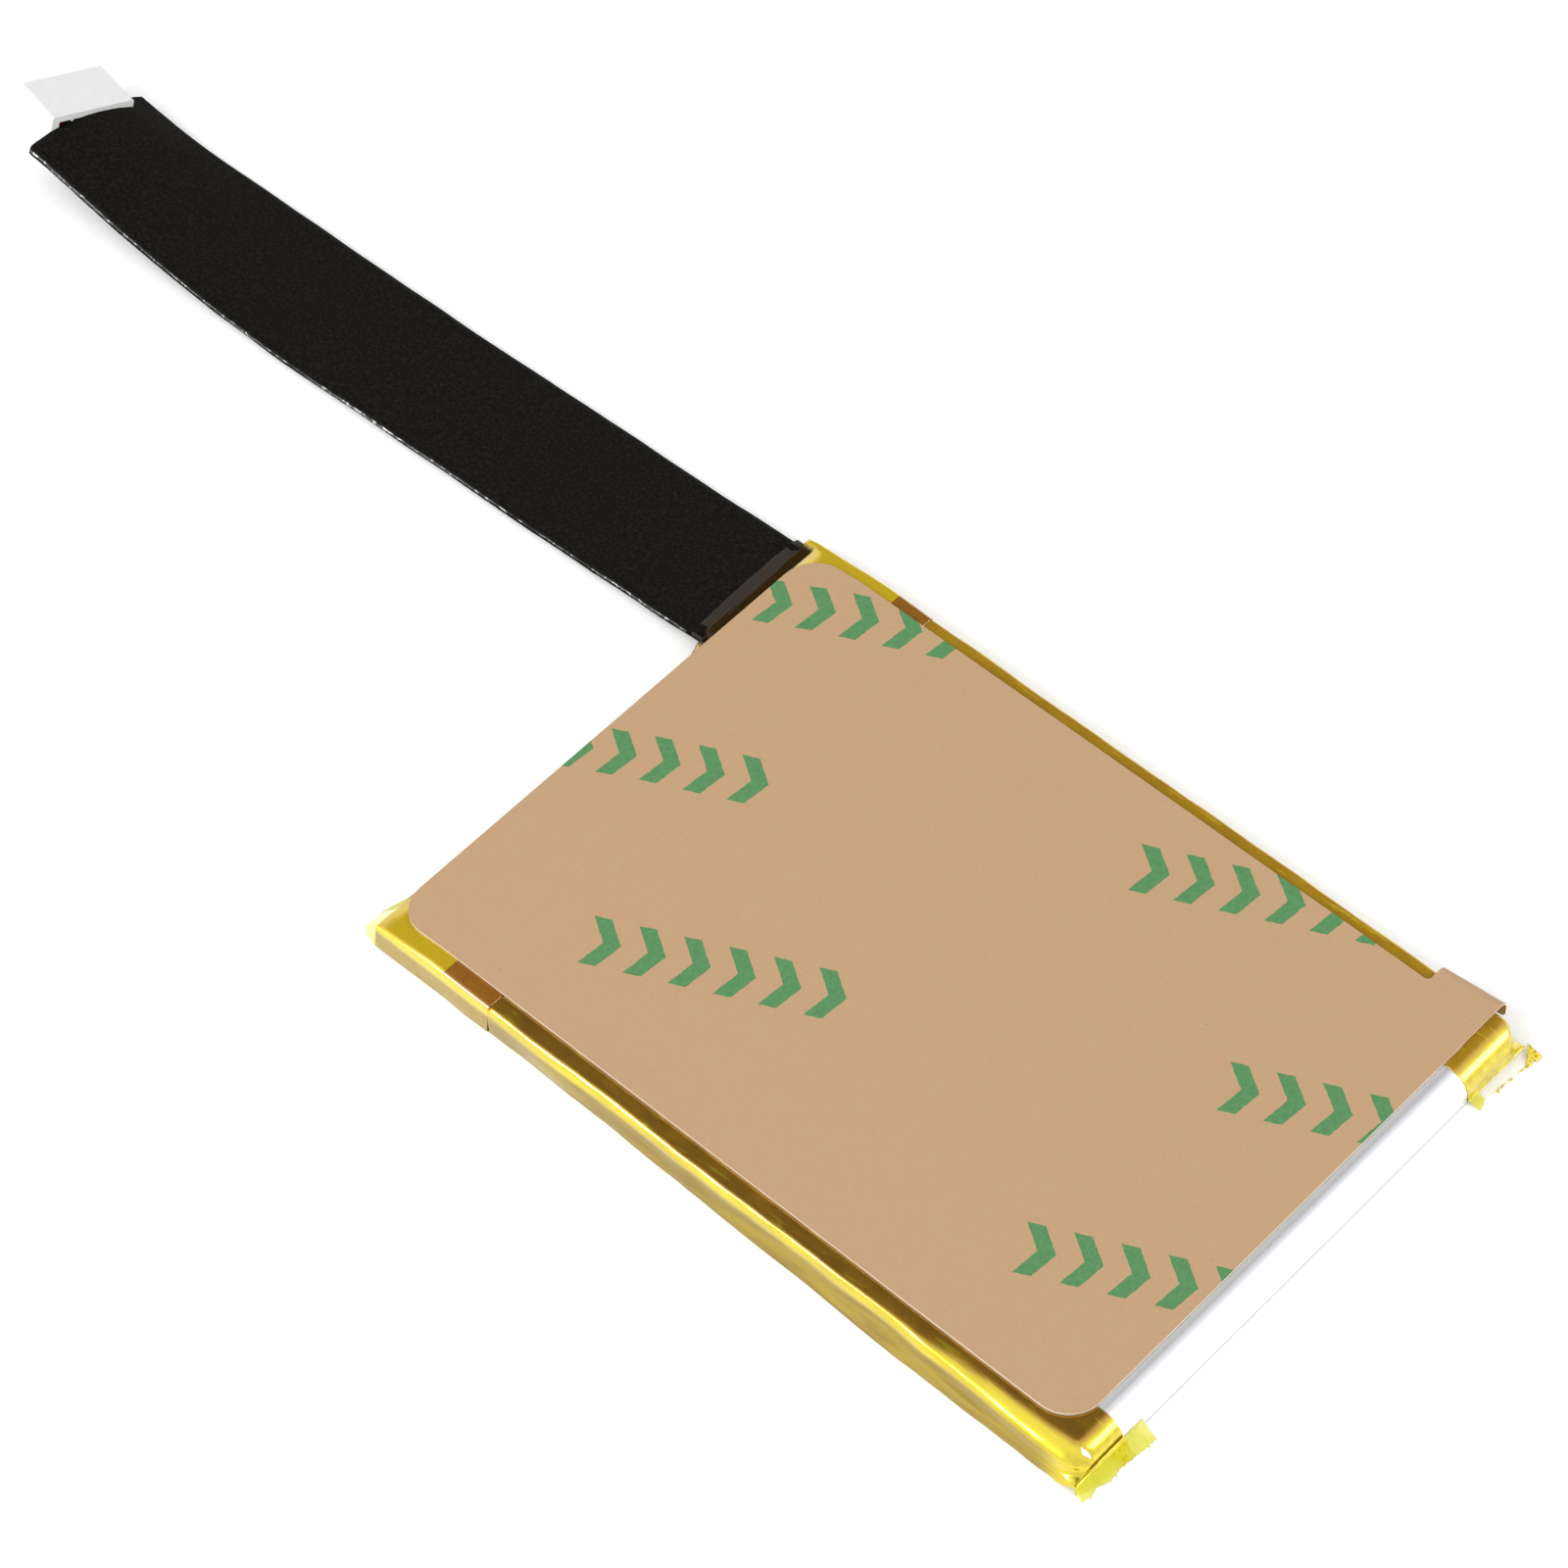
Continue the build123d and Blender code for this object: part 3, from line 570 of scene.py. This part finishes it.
def side_tape(name, side, inner, out_at, root_height, material):
    """Film along one side, down over the rounded closed end to the root of its pressed tail."""
    rows = []
    start = END_TAPE_STOP - 0.8
    bend = CLOSED_END - FOLD
    count = 70
    for n in range(count + 1):
        x = start + (bend - start) * n / count
        base = FILM * (1 - smooth((x - END_TAPE_STOP + 0.1) / 0.5))
        rows.append(wrapped_section(side, abs(inner), x, TAPE_TOP, base, out_at(x)))
    radius = FOLD + FILM
    for n in range(1, 13):
        turn = math.radians(90 * n / 12)
        x = bend + radius * math.sin(turn)
        top = TAPE_TOP - radius + radius * math.cos(turn)
        tuck = 1.9 * math.sin(turn) ** 2
        foot = root_height * smooth(n / 12)
        rows.append(wrapped_section(side, abs(inner), x, max(top, foot + 0.1), foot, out_at(x) + 0.1, tuck))
    for reach, thick, tuck in ((0.12, 0.55, 1.9), (0.18, 0.30, 1.6), (0.24, 0.14, 1.2), (0.30, 0.10, 0.8)):
        x = CLOSED_END + reach
        rows.append(
            wrapped_section(side, abs(inner), x, root_height + thick, root_height, out_at(x) + 0.1, tuck)
        )
    if side > 0:
        rows = [row[::-1] for row in rows]
    points, faces = loft(rows)
    piece = thicken(new_piece(name, points, faces, [material]), 0.05)
    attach(piece, "pack")
    return piece


def torn_edge(y, seed):
    """Reach of a torn film end: uneven teeth of a tape cutter, with chips out of it."""
    place = y / 0.95 + 0.6 * wave(y * 0.6, seed + 5)
    teeth = abs((place + seed) % 1.0 - 0.5) * (0.30 + 0.25 * wave(y * 0.9, seed + 8))
    chips = 0.34 * wave(y * 1.3, seed) + 0.22 * wave(y * 4.3, seed + 3) + 0.10 * wave(y * 9.0, seed + 6)
    return teeth + chips


def tail(name, y_start, y_end, tip_start, tip_end, root_height, level, seed, material):
    """Flat end of a film past the pouch, from one y to another, with a torn edge."""
    columns = int(abs(y_end - y_start) / 0.12)
    root = CLOSED_END + 0.02
    rows = []
    for n in range(9):
        row = []
        for c in range(columns + 1):
            t = c / columns
            y = y_start + (y_end - y_start) * t
            tip = tip_start + (tip_end - tip_start) * t + torn_edge(y, seed) - 0.25
            x = root + (tip - root) * n / 8
            sag = root_height * (1 - n / 8) ** 1.4
            z = level + sag + 0.10 * wave(x * 0.9, y * 0.6, seed) * smooth(n / 4)
            row.append((x, y, max(z, 0.06)))
        rows.append(row)
    if y_end > y_start:
        rows = [row[::-1] for row in rows]
    points, faces = loft(rows)
    piece = thicken(new_piece(name, points, faces, [material]), 0.05)
    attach(piece, "pack")
    return piece


def nose_height(x, y):
    """Height of the head past the liner: steep, but drawn out over the lead and at both corners."""
    t = max(0.0, min(1.0, (ROOF_END - x) / (ROOF_END - HEAD_END)))
    steep = 3.3 * (1 - (1 - t) ** 1.8)
    near_corner = 1.5 * t
    over_lead = 0.72 * smooth(5 * t)
    far_corner = 0.15 * t + 0.2 * t**4
    drop = steep + (near_corner - steep) * smooth((-30 - y) / 6)
    drop += (over_lead - drop) * smooth((y - 16.9) / 1.2)
    drop += (far_corner - drop) * smooth((y - 35.2) / 1.0)
    return TAPE_TOP + FILM - ROOF_DROP - drop


def end_tape(film):
    """Wide tape wound round the head: one closed section after another, and its front wall."""
    places = [(END_TAPE_STOP, 0.0), (END_TAPE_STOP - 0.12, 0.0)]
    places += [(END_TAPE_STOP - 0.9 * n, 0.0) for n in range(1, 11)]
    roof = [(ROOF_BEND, 0.0), (-44.9, 0.175), (-46.9, 0.35), (-48.9, 0.525), (ROOF_END, ROOF_DROP)]
    nose = [(ROOF_END - (ROOF_END - HEAD_END) * n / 8, ROOF_DROP) for n in range(1, 9)]
    inner = 30.0
    upper = steps(-inner, inner, 1.25)
    lower = steps(-inner, inner, 10.0)[::-1]
    rows = []
    for x, drop in places + roof + nose:
        top = TAPE_TOP + FILM - drop
        tuck = 0.3 * smooth((ROOF_END - x) / 1.8)
        near = wrapped_section(-1, inner, x, top, 0.0, near_out(x) + 0.12 - tuck, tuck)
        far = wrapped_section(1, inner, x, top, 0.0, far_out(x) + 0.12 - tuck, tuck)
        row = near[::-1] + [(x, y, top) for y in upper] + far + [(x, y, 0.0) for y in lower]
        if x < ROOF_END:
            row = [(x, y, min(z, nose_height(x, y))) for _, y, z in row]
        rows.append(row)
    points, faces = loft(rows, closed=True)
    width = len(rows[0])
    first = len(points) - width
    base = len(points)
    points.extend((x - 0.02, y * 0.985, 0.06 + z * 0.93) for x, y, z in rows[-1])
    for c in range(width):
        d = (c + 1) % width
        faces.append((first + c, first + d, base + d, base + c))
    faces.append(tuple(range(base, base + width)))
    piece = thicken(new_piece("end_tape_film", points, faces, [film]), 0.05)
    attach(piece, "pack")
    return piece


# --- pieces: liner ----------------------------------------------------------------------------
def arc_points(x, y, radius, start, sweep, count=8):
    turns = [math.radians(start + sweep * n / count) for n in range(count + 1)]
    return [(x + radius * math.cos(a), y + radius * math.sin(a)) for a in turns]


def liner_outline():
    """Plan of the flat liner: three round corners, and the pull tab at the fourth."""
    left, right = liner_low.x, liner_high.x
    half = -liner_low.y
    r = LINER_CORNER
    tip = TAB_FOLD_Y + TAB_RADIUS * math.pi / 2 + TAB_DROP
    tab_start = tab_low.x
    notch = 0.6
    outline = arc_points(right - r, r - half, r, 270, 90)
    outline += arc_points(right - 0.6, tip - 0.6, 0.6, 0, 90, 4)
    outline += arc_points(tab_start + 0.6, tip - 0.6, 0.6, 90, 90, 4)
    outline += arc_points(tab_start - notch, half + notch, notch, 0, -90, 6)
    outline += arc_points(left + r, half - r, r, 90, 90)
    outline += arc_points(left + r, r - half, r, 180, 90)
    return outline


def liner_place(x, y):
    """Where a point of the flat liner lies, and the way its top faces."""
    slope = max(0.0, min(1.0, (ROOF_BEND - x) / (ROOF_BEND - ROOF_END)))
    edge = smooth((abs(y) - 30) / 5) * smooth((45 - abs(x)) / 20)
    top = LINER_TOP - ROOF_DROP * slope + 0.05 * edge * (1 + wave(x * 0.07, y * 0.02))
    past = y - TAB_FOLD_Y - 0.09 * max(-4.0, x - 45)
    if past <= 0:
        return Vector((x, y, top)), Vector((0, 0, 1))
    turn = min(past / TAB_RADIUS, math.pi / 2)
    straight = past - turn * TAB_RADIUS
    normal = Vector((0, math.sin(turn), math.cos(turn)))
    centre = Vector((x, y - past, LINER_TOP - TAB_RADIUS))
    return centre + normal * TAB_RADIUS - Vector((0, 0, straight)), normal


def liner(kraft, edge):
    """Release liner and its pull tab in one sheet of paper."""
    bm = bmesh.new()
    bm.faces.new([bm.verts.new((x, y, 0)) for x, y in liner_outline()])
    cuts = [((1, 0, 0), v) for v in steps(liner_low.x, liner_high.x, 3.6) + [ROOF_BEND]]
    cuts += [((0, 1, 0), v) for v in steps(liner_low.y, 35.0, 3.5)]
    cuts += [((0, 1, 0), v) for v in steps(35.0, 42.0, 0.25)]
    for normal, value in cuts:
        geometry = bm.verts[:] + bm.edges[:] + bm.faces[:]
        place = [value * n for n in normal]
        bmesh.ops.bisect_plane(bm, geom=geometry, plane_co=place, plane_no=normal)
    bm.normal_update()
    bm.verts.index_update()
    flat = [(v.co.x, v.co.y) for v in bm.verts]
    top_faces = [tuple(v.index for v in face.verts) for face in bm.faces]
    if sum(face.normal.z for face in bm.faces) < 0:
        top_faces = [face[::-1] for face in top_faces]
    rim = []
    for edge_line in bm.edges:
        if len(edge_line.link_faces) == 1:
            loop = edge_line.link_loops[0]
            rim.append((loop.vert.index, loop.link_loop_next.vert.index))
    bm.free()
    count = len(flat)
    places = [liner_place(x, y) for x, y in flat]
    points = [tuple(p) for p, normal in places]
    points += [tuple(p - normal * LINER_THICK) for p, normal in places]
    faces = top_faces + [tuple(i + count for i in face[::-1]) for face in top_faces]
    faces += [(a + count, b + count, b, a) for a, b in rim]
    piece = new_piece("release_liner_paper", points, faces, [kraft, edge], shade_smooth=False)
    mesh = piece.data
    layer = mesh.uv_layers.new(name="flat")
    for loop in mesh.loops:
        x, y = flat[loop.vertex_index % count]
        layer.data[loop.index].uv = (x * MM, y * MM)
    for polygon in list(mesh.polygons)[-len(rim):]:
        polygon.material_index = 1
    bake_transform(piece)
    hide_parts("release_liner", "liner_pull_tab")
    return piece


# --- pieces: lead -----------------------------------------------------------------------------
def route_line():
    """Points along the smooth line of the lead, read from its NURBS spline."""
    curve = bpy.data.curves.new("lead_route", "CURVE")
    curve.dimensions = "3D"
    curve.resolution_u = 24
    spline = curve.splines.new("NURBS")
    spline.points.add(len(ROUTE) - 1)
    for point, place in zip(spline.points, ROUTE):
        point.co = (*place, 1.0)
    spline.order_u = 3
    spline.use_endpoint_u = True
    holder = bpy.data.objects.new("lead_route", curve)
    bpy.context.scene.collection.objects.link(holder)
    mesh = bpy.data.meshes.new_from_object(holder)
    line = [v.co.copy() for v in mesh.vertices]
    bpy.data.meshes.remove(mesh)
    bpy.data.objects.remove(holder)
    bpy.data.curves.remove(curve)
    return line


def spread(line, size):
    """The same line with evenly spaced points."""
    lengths = [0.0]
    for a, b in zip(line, line[1:]):
        lengths.append(lengths[-1] + (b - a).length)
    count = round(lengths[-1] / size)
    even = []
    k = 0
    for n in range(count + 1):
        at = lengths[-1] * n / count
        while k < len(line) - 2 and lengths[k + 1] < at:
            k += 1
        part = (at - lengths[k]) / max(lengths[k + 1] - lengths[k], 1e-9)
        even.append(line[k].lerp(line[k + 1], min(1.0, part)))
    return even


def lead_frames(line):
    """Along the lead: its place, and the ways along, across and up. Its end is twisted."""
    frames = []
    for n, place in enumerate(line):
        along = (line[min(n + 1, len(line) - 1)] - line[max(n - 1, 0)]).normalized()
        across = Vector((0, 0, 1)).cross(-along).normalized()
        up = (-along).cross(across)
        twist = math.radians(-13.0) * smooth((-122.0 - place.x) / 42.0)
        turn = Matrix.Rotation(twist, 3, -along)
        frames.append((place, along, turn @ across, turn @ up))
    return frames


def felt_section():
    """Loop round the folded felt as (across, up): a fold on the far edge, a slit on the near."""
    half = LEAD_HALF_WIDTH

    def thick(v):
        return 0.76 + 0.14 * math.exp(-((v / 5.6) ** 4))

    top = [(-half + 0.12 + n * (2 * half - 0.9) / 40, 0.0) for n in range(41)]
    top = [(v, thick(v)) for v, _ in top]
    fold = [(half - 0.35, 0.50), (half - 0.08, 0.28), (half, 0.0), (half - 0.08, -0.28), (half - 0.35, -0.50)]
    bottom = [(v, -w) for v, w in top[::-1]]
    slit = [
        (-half - 0.02, -0.45),
        (-half, -0.16),
        (-half + 0.35, -0.05),
        (-half + 0.9, 0.0),
        (-half + 0.35, 0.05),
        (-half, 0.16),
        (-half - 0.02, 0.45),
    ]
    return top + fold + bottom + slit


def lead_point(frame_here, v, w, from_end):
    """A point of the lead's section. Near the plug the felt is arched, and its end is askew."""
    place, along, across, up = frame_here
    t = v / LEAD_HALF_WIDTH
    near_end = smooth(1 - from_end / 26.0)
    arch = near_end * (1.35 - 2.0 * t * t)
    skew = -0.75 * t * smooth(1 - from_end / 12.0)
    return place + across * v + up * (w + arch) + along * skew


def felt(frames, material):
    """The folded felt jacket round the wires."""
    section = felt_section()
    rows = []
    last = len(frames) - 1
    step = (frames[1][0] - frames[0][0]).length
    for n, here in enumerate(frames):
        row = []
        x = here[0].x
        for k, (v, w) in enumerate(section):
            side = v / LEAD_HALF_WIDTH
            edge = 0.16 * wave(x * 0.13, side * 2.0) * abs(side) ** 3
            fuzz = 0.035 * wave(x * 2.3, v * 2.3, w * 2.0) + 0.02 * wave(x * 5.1, v * 5.1, w)
            swell = 0.05 * wave(x * 0.09, v * 0.22, 5.0)
            row.append(lead_point(here, v + edge, w * (1 + fuzz / 0.6) + swell * (w > 0), (last - n) * step))
        rows.append(row)
    # the open end: the felt's edge, then in between its layers
    end = []
    for v, w in section:
        end.append(lead_point(frames[-3], v * 0.93, w * 0.62, 2 * step))
    rows.append(end)
    points, faces = loft(rows, closed=True)
    width = len(section)
    faces.append(tuple(range(width))[::-1])
    total = len(points)
    faces.append(tuple(range(total - width, total)))
    lowest = 0.02
    points = [(p.x, p.y, max(p.z, lowest)) for p in points]
    return new_piece("lead_felt", points, faces, [material])


def glue_line(frames, material):
    """Thin line of glue in the slit of the felt's near edge."""
    rows = []
    last = len(frames) - 1
    step = (frames[1][0] - frames[0][0]).length
    for n, here in enumerate(frames[4:]):
        row = []
        wobble = 0.10 * wave(here[0].x * 0.9, 2.0)
        for v, w in ((-8.75, -0.08), (-9.22 + wobble, -0.16), (-9.22 + wobble, 0.16), (-8.75, 0.08)):
            row.append(tuple(lead_point(here, v, w, (last - n - 4) * step)))
        rows.append(row)
    points, faces = loft(rows, closed=True)
    faces.append((3, 2, 1, 0))
    total = len(points)
    faces.append((total - 4, total - 3, total - 2, total - 1))
    return new_piece("lead_glue_line", points, faces, [material])


def tube_rows(line, radius, sides=12):
    """Rings of points round a line."""
    rows = []
    for n, place in enumerate(line):
        along = (line[min(n + 1, len(line) - 1)] - line[max(n - 1, 0)]).normalized()
        across = Vector((0, 0, 1)).cross(along).normalized()
        up = along.cross(across)
        ring = []
        for k in range(sides):
            turn = 2 * math.pi * k / sides
            ring.append(tuple(place + (across * math.cos(turn) + up * math.sin(turn)) * radius))
        rows.append(ring)
    return rows


def wires(name, offsets, frames, plug_entry, material, node):
    """Insulated wires of one polarity, side by side in the felt and on into the plug."""
    points, faces = [], []
    last = len(frames) - 1
    step = (frames[1][0] - frames[0][0]).length
    for offset in offsets:
        line = []
        for n in range(0, last - 6, 3):
            line.append(lead_point(frames[n], offset, 0.0, (last - n) * step))
        line.append(lead_point(frames[-3], offset * 1.0, 0.0, 2 * step).lerp(plug_entry(offset), 0.35))
        line.append(plug_entry(offset))
        rows = tube_rows(line, WIRE / 2)
        part, quads = loft(rows, closed=True)
        sides = len(rows[0])
        quads.append(tuple(range(sides))[::-1])
        quads.append(tuple(range(len(part) - sides, len(part))))
        add_part(points, faces, part, quads)
    piece = new_piece(name, points, faces, [material])
    bend_with_lead(piece)
    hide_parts(node)
    return piece


def bend_with_lead(piece):
    """Bakes the piece's placement into its mesh; it is not bent between the pack and the lead's rigid body.
    """
    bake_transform(piece)


def lead_lap(frames, material):
    """Front of the end tape, turned out on to the root of the lead."""
    rows = []
    for here in frames[:4]:
        row = []
        for k in range(25):
            v = -LEAD_HALF_WIDTH - 0.25 + (2 * LEAD_HALF_WIDTH + 0.5) * k / 24
            ragged = 0.12 * wave(v * 0.8, 9.0)
            sink = 0.35 * smooth((abs(v) - LEAD_HALF_WIDTH + 0.5) / 0.7)
            point = lead_point(here, v, 0.99 - 0.28 * smooth((abs(v) - 5) / 3) - sink, 100.0)
            row.append((point.x + 0.25 + ragged, point.y, point.z))
        rows.append(row)
    points, faces = loft([row[::-1] for row in rows])
    piece = thicken(new_piece("end_tape_lap", points, faces, [material]), 0.05)
    bend_with_lead(piece)
    return piece


# --- build ------------------------------------------------------------------------------------
foil = foil_material()
# The near and far films are one film; their different top tones are painted shade for how each side faces the
# light.
near_film = film_on_foil_material("near_film_on_foil", (0.66, 0.36, 0.001), (0.42, 0.20, 0.001), 0.85)
far_film = film_on_foil_material("far_film_on_foil", (0.60, 0.36, 0.001), (0.46, 0.25, 0.001), 0.5)
end_film = end_film_material()
lemon_film = free_film_material("lemon_film", (0.84, 0.82, 0.08), (0.78, 0.74, 0.05), 0.50, 0.25)
yellow_film = free_film_material("yellow_film", (0.66, 0.57, 0.003), (0.54, 0.45, 0.002), 0.97, 1.0)
dark_film = plain_material("film_on_felt", (0.006, 0.003, 0.001), (0.024, 0.011, 0.001), 1.6, (0.75, 0.85))
kraft = kraft_material()
paper_edge = paper_edge_material()
black_felt = felt_material()

near_tape = side_tape("side_tape_near_film", -1, NEAR_EDGE, near_out, NEAR_FLAP_ROOT, near_film)
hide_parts("side_tape_near")
far_tape = side_tape("side_tape_far_film", 1, FAR_EDGE, far_out, FAR_FLAP_ROOT, far_film)
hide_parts("side_tape_far")
tail("near_flap_lower", -27.8, -39.0, 54.9, 54.3, NEAR_FLAP_ROOT, 0.06, 1.0, lemon_film)
tail("near_flap_upper", -30.9, -38.9, 54.8, 53.3, NEAR_FLAP_ROOT, 0.15, 4.0, yellow_film)
tail("far_flap_inner", 27.8, 29.4, 54.5, 54.3, FAR_FLAP_ROOT, 0.06, 9.0, lemon_film)
tail("far_flap", 29.6, 38.1, 54.2, 55.2, FAR_FLAP_ROOT, 0.15, 11.0, torn_film_material())
head_film = end_tape(end_film)
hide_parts("end_tape")

liner(kraft, paper_edge)

line = spread(route_line(), 0.6)
frames = lead_frames(line)
felt_piece = felt(frames, black_felt)
bend_with_lead(felt_piece)
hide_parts("lead_jacket")
glue_piece = glue_line(frames, glint_material())
bend_with_lead(glue_piece)
lead_lap(frames, dark_film)

HOUSING_CENTRE = Vector((-165.7, 25.95, 4.55))
housing_turn = (
    Matrix.Rotation(math.radians(-12), 3, "Z")
    @ Matrix.Rotation(math.radians(-2), 3, "Y")
    @ Matrix.Rotation(math.radians(-17.5), 3, "X")
)


def plug_entry(offset):
    """Where a wire ends in its cavity of the plug."""
    return HOUSING_CENTRE + housing_turn @ Vector((1.0, offset, 0))


red = plain_material("red_insulation", (0.50, 0.02, 0.015), (0.66, 0.04, 0.03), 3.0, (0.28, 0.42), coat=0.2)
white = plain_material(
    "white_insulation", (0.74, 0.74, 0.71), (0.88, 0.88, 0.86), 3.0, (0.28, 0.42), coat=0.2
)
black = plain_material(
    "black_insulation", (0.015, 0.015, 0.015), (0.035, 0.035, 0.034), 3.0, (0.3, 0.45), coat=0.2
)
red_wires = wires(
    "red_wires", (-2 * WIRE_PITCH, -WIRE_PITCH), frames, plug_entry, red, "positive_wires"
)
white_wire = wires("white_wire", (0,), frames, plug_entry, white, "sense_wire")
black_wires = wires(
    "black_wires", (WIRE_PITCH, 2 * WIRE_PITCH), frames, plug_entry, black, "negative_wires"
)

# --- materials of the carried-over CAD nodes --------------------------------------------------
CAD_MATERIALS = {
    "pouch": foil,
    "anode_plates": plain_material(
        "anode_coating", (0.03, 0.03, 0.033), (0.07, 0.07, 0.075), 5.0, (0.7, 0.9)
    ),
    "cathode_plates": plain_material(
        "cathode_coating", (0.06, 0.06, 0.062), (0.11, 0.11, 0.12), 5.0, (0.65, 0.85)
    ),
    "separator": plain_material("separator_film", (0.84, 0.86, 0.85), (0.94, 0.95, 0.94), 2.0, (0.4, 0.55)),
    "negative_tail": plain_material(
        "copper_foil", (0.72, 0.32, 0.18), (0.85, 0.45, 0.28), 4.0, (0.2, 0.35), 1.0
    ),
    "positive_tail": plain_material(
        "aluminium_foil", (0.78, 0.79, 0.82), (0.9, 0.9, 0.92), 4.0, (0.2, 0.35), 1.0
    ),
    "negative_tab": plain_material(
        "nickel_strip", (0.56, 0.54, 0.50), (0.70, 0.68, 0.64), 6.0, (0.22, 0.4), 1.0, stretch=(0.1, 1, 1)
    ),
    "tab_sealant": plain_material(
        "sealant_film", (0.70, 0.70, 0.64), (0.86, 0.86, 0.80), 3.0, (0.3, 0.45), alpha=0.8
    ),
    "circuit_board": board_material(),
    "board_insulator": plain_material(
        "fish_paper", (0.52, 0.45, 0.34), (0.66, 0.58, 0.46), 4.0, (0.75, 0.9)
    ),
    "protection_chip": plain_material(
        "chip_plastic", (0.012, 0.012, 0.013), (0.03, 0.03, 0.032), 7.0, (0.5, 0.7)
    ),
    "fuse": plain_material("fuse_ceramic", (0.62, 0.58, 0.48), (0.78, 0.74, 0.64), 6.0, (0.45, 0.6)),
    "temperature_sensor": plain_material(
        "sensor_ceramic", (0.10, 0.07, 0.05), (0.2, 0.15, 0.1), 6.0, (0.4, 0.6)
    ),
    "solder_joints": plain_material(
        "solder", (0.60, 0.61, 0.62), (0.75, 0.76, 0.77), 3.0, (0.12, 0.3), 1.0
    ),
    "wire_ends": black,
    "adhesive_sheet": plain_material(
        "clear_adhesive", (0.70, 0.68, 0.60), (0.84, 0.82, 0.76), 1.4, (0.10, 0.28),
        bump=0.08, coat=0.6, alpha=0.45,
    ),
    "plug_housing": plain_material(
        "white_nylon", (0.64, 0.64, 0.635), (0.72, 0.72, 0.715), 5.0, (0.32, 0.48), bump=0.02
    ),
    "plug_contacts": plain_material(
        "tinned_contact", (0.62, 0.62, 0.60), (0.76, 0.76, 0.74), 5.0, (0.2, 0.35), 1.0
    ),
}
SAME_AS = {
    "positive_tab": "positive_tail",
    "nickel_pads": "negative_tab",
    "switch_transistors": "protection_chip",
    "chip_resistors": "temperature_sensor",
}
for node, material in [*CAD_MATERIALS.items(), *((n, CAD_MATERIALS[m]) for n, m in SAME_AS.items())]:
    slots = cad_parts[node].material_slots
    for slot in slots:
        slot.material = material

# --- floor, light and camera ------------------------------------------------------------------
bpy.context.scene.view_settings.view_transform = "Standard"


def floor():
    half, level = 1500.0, -0.02
    corners = [(-half, -half, level), (half, -half, level), (half, half, level), (-half, half, level)]
    s = Shader("floor")
    s.bumps((s.grain(0.5, 2.0), 0.02, 0.1))
    pale = s.set(Base_Color=(0.98, 0.98, 0.98), Roughness=0.9, Specular_IOR_Level=0.1)
    new_piece("floor", corners, [(0, 1, 2, 3)], [pale])


def softbox(name, place, target, size, power):
    """An area light, as wide and as tall as size says, that faces a target."""
    light = bpy.data.lights.new(name, "AREA")
    light.shape = "RECTANGLE"
    light.size, light.size_y = size
    light.energy = power
    lamp = bpy.data.objects.new(name, light)
    bpy.context.scene.collection.objects.link(lamp)
    lamp.location = place
    lamp.rotation_euler = (Vector(target) - Vector(place)).to_track_quat("-Z", "Y").to_euler()


DARK_PATCH = (-0.45, 0.45, 0.77)
PATCH_EDGE = (0.80, 0.965)
SKY_STRENGTH = (1.1, 0.17)  # white surround, dark patch


def sky():
    """White surround with one soft dark patch, which shows in gloss that lies flat."""
    world = bpy.data.worlds.new("studio")
    world.use_nodes = True
    tree = world.node_tree
    place = tree.nodes.new("ShaderNodeTexCoord")
    toward = tree.nodes.new("ShaderNodeVectorMath")
    toward.operation = "DOT_PRODUCT"
    toward.inputs[1].default_value = DARK_PATCH
    ramp = tree.nodes.new("ShaderNodeMapRange")
    ramp.interpolation_type = "SMOOTHSTEP"
    ramp.inputs["From Min"].default_value, ramp.inputs["From Max"].default_value = PATCH_EDGE
    ramp.inputs["To Min"].default_value, ramp.inputs["To Max"].default_value = SKY_STRENGTH
    tree.links.new(place.outputs["Generated"], toward.inputs[0])
    tree.links.new(toward.outputs["Value"], ramp.inputs["Value"])
    tree.links.new(ramp.outputs[0], tree.nodes["Background"].inputs["Strength"])
    tree.nodes["Background"].inputs["Color"].default_value = (1, 1, 1, 1)
    bpy.context.scene.world = world


def camera():
    """The photograph's view: a long lens from above the closed end and the near side."""
    azimuth, elevation, distance = math.radians(42.19), math.radians(53.15), 0.6723
    target = Vector((-0.03232, 0.00975, 0.0))
    flat = math.cos(elevation)
    back = Vector((math.sin(azimuth) * flat, -math.cos(azimuth) * flat, math.sin(elevation)))
    data = bpy.data.cameras.new("camera")
    data.lens = 135.0
    data.sensor_width = 36.0
    data.clip_start = 0.05
    holder = bpy.data.objects.new("camera", data)
    bpy.context.scene.collection.objects.link(holder)
    holder.location = target + back * distance
    holder.rotation_euler = (-back).to_track_quat("-Z", "Y").to_euler()
    bpy.context.scene.camera = holder


floor()
sky()
softbox("key", (-0.5, -0.9, 0.68), (0, 0, 0), (0.22, 0.80), 9.0)
softbox("rim", (0.8, 0.5, 0.6), (0, 0, 0), (0.4, 0.4), 3.0)
camera()
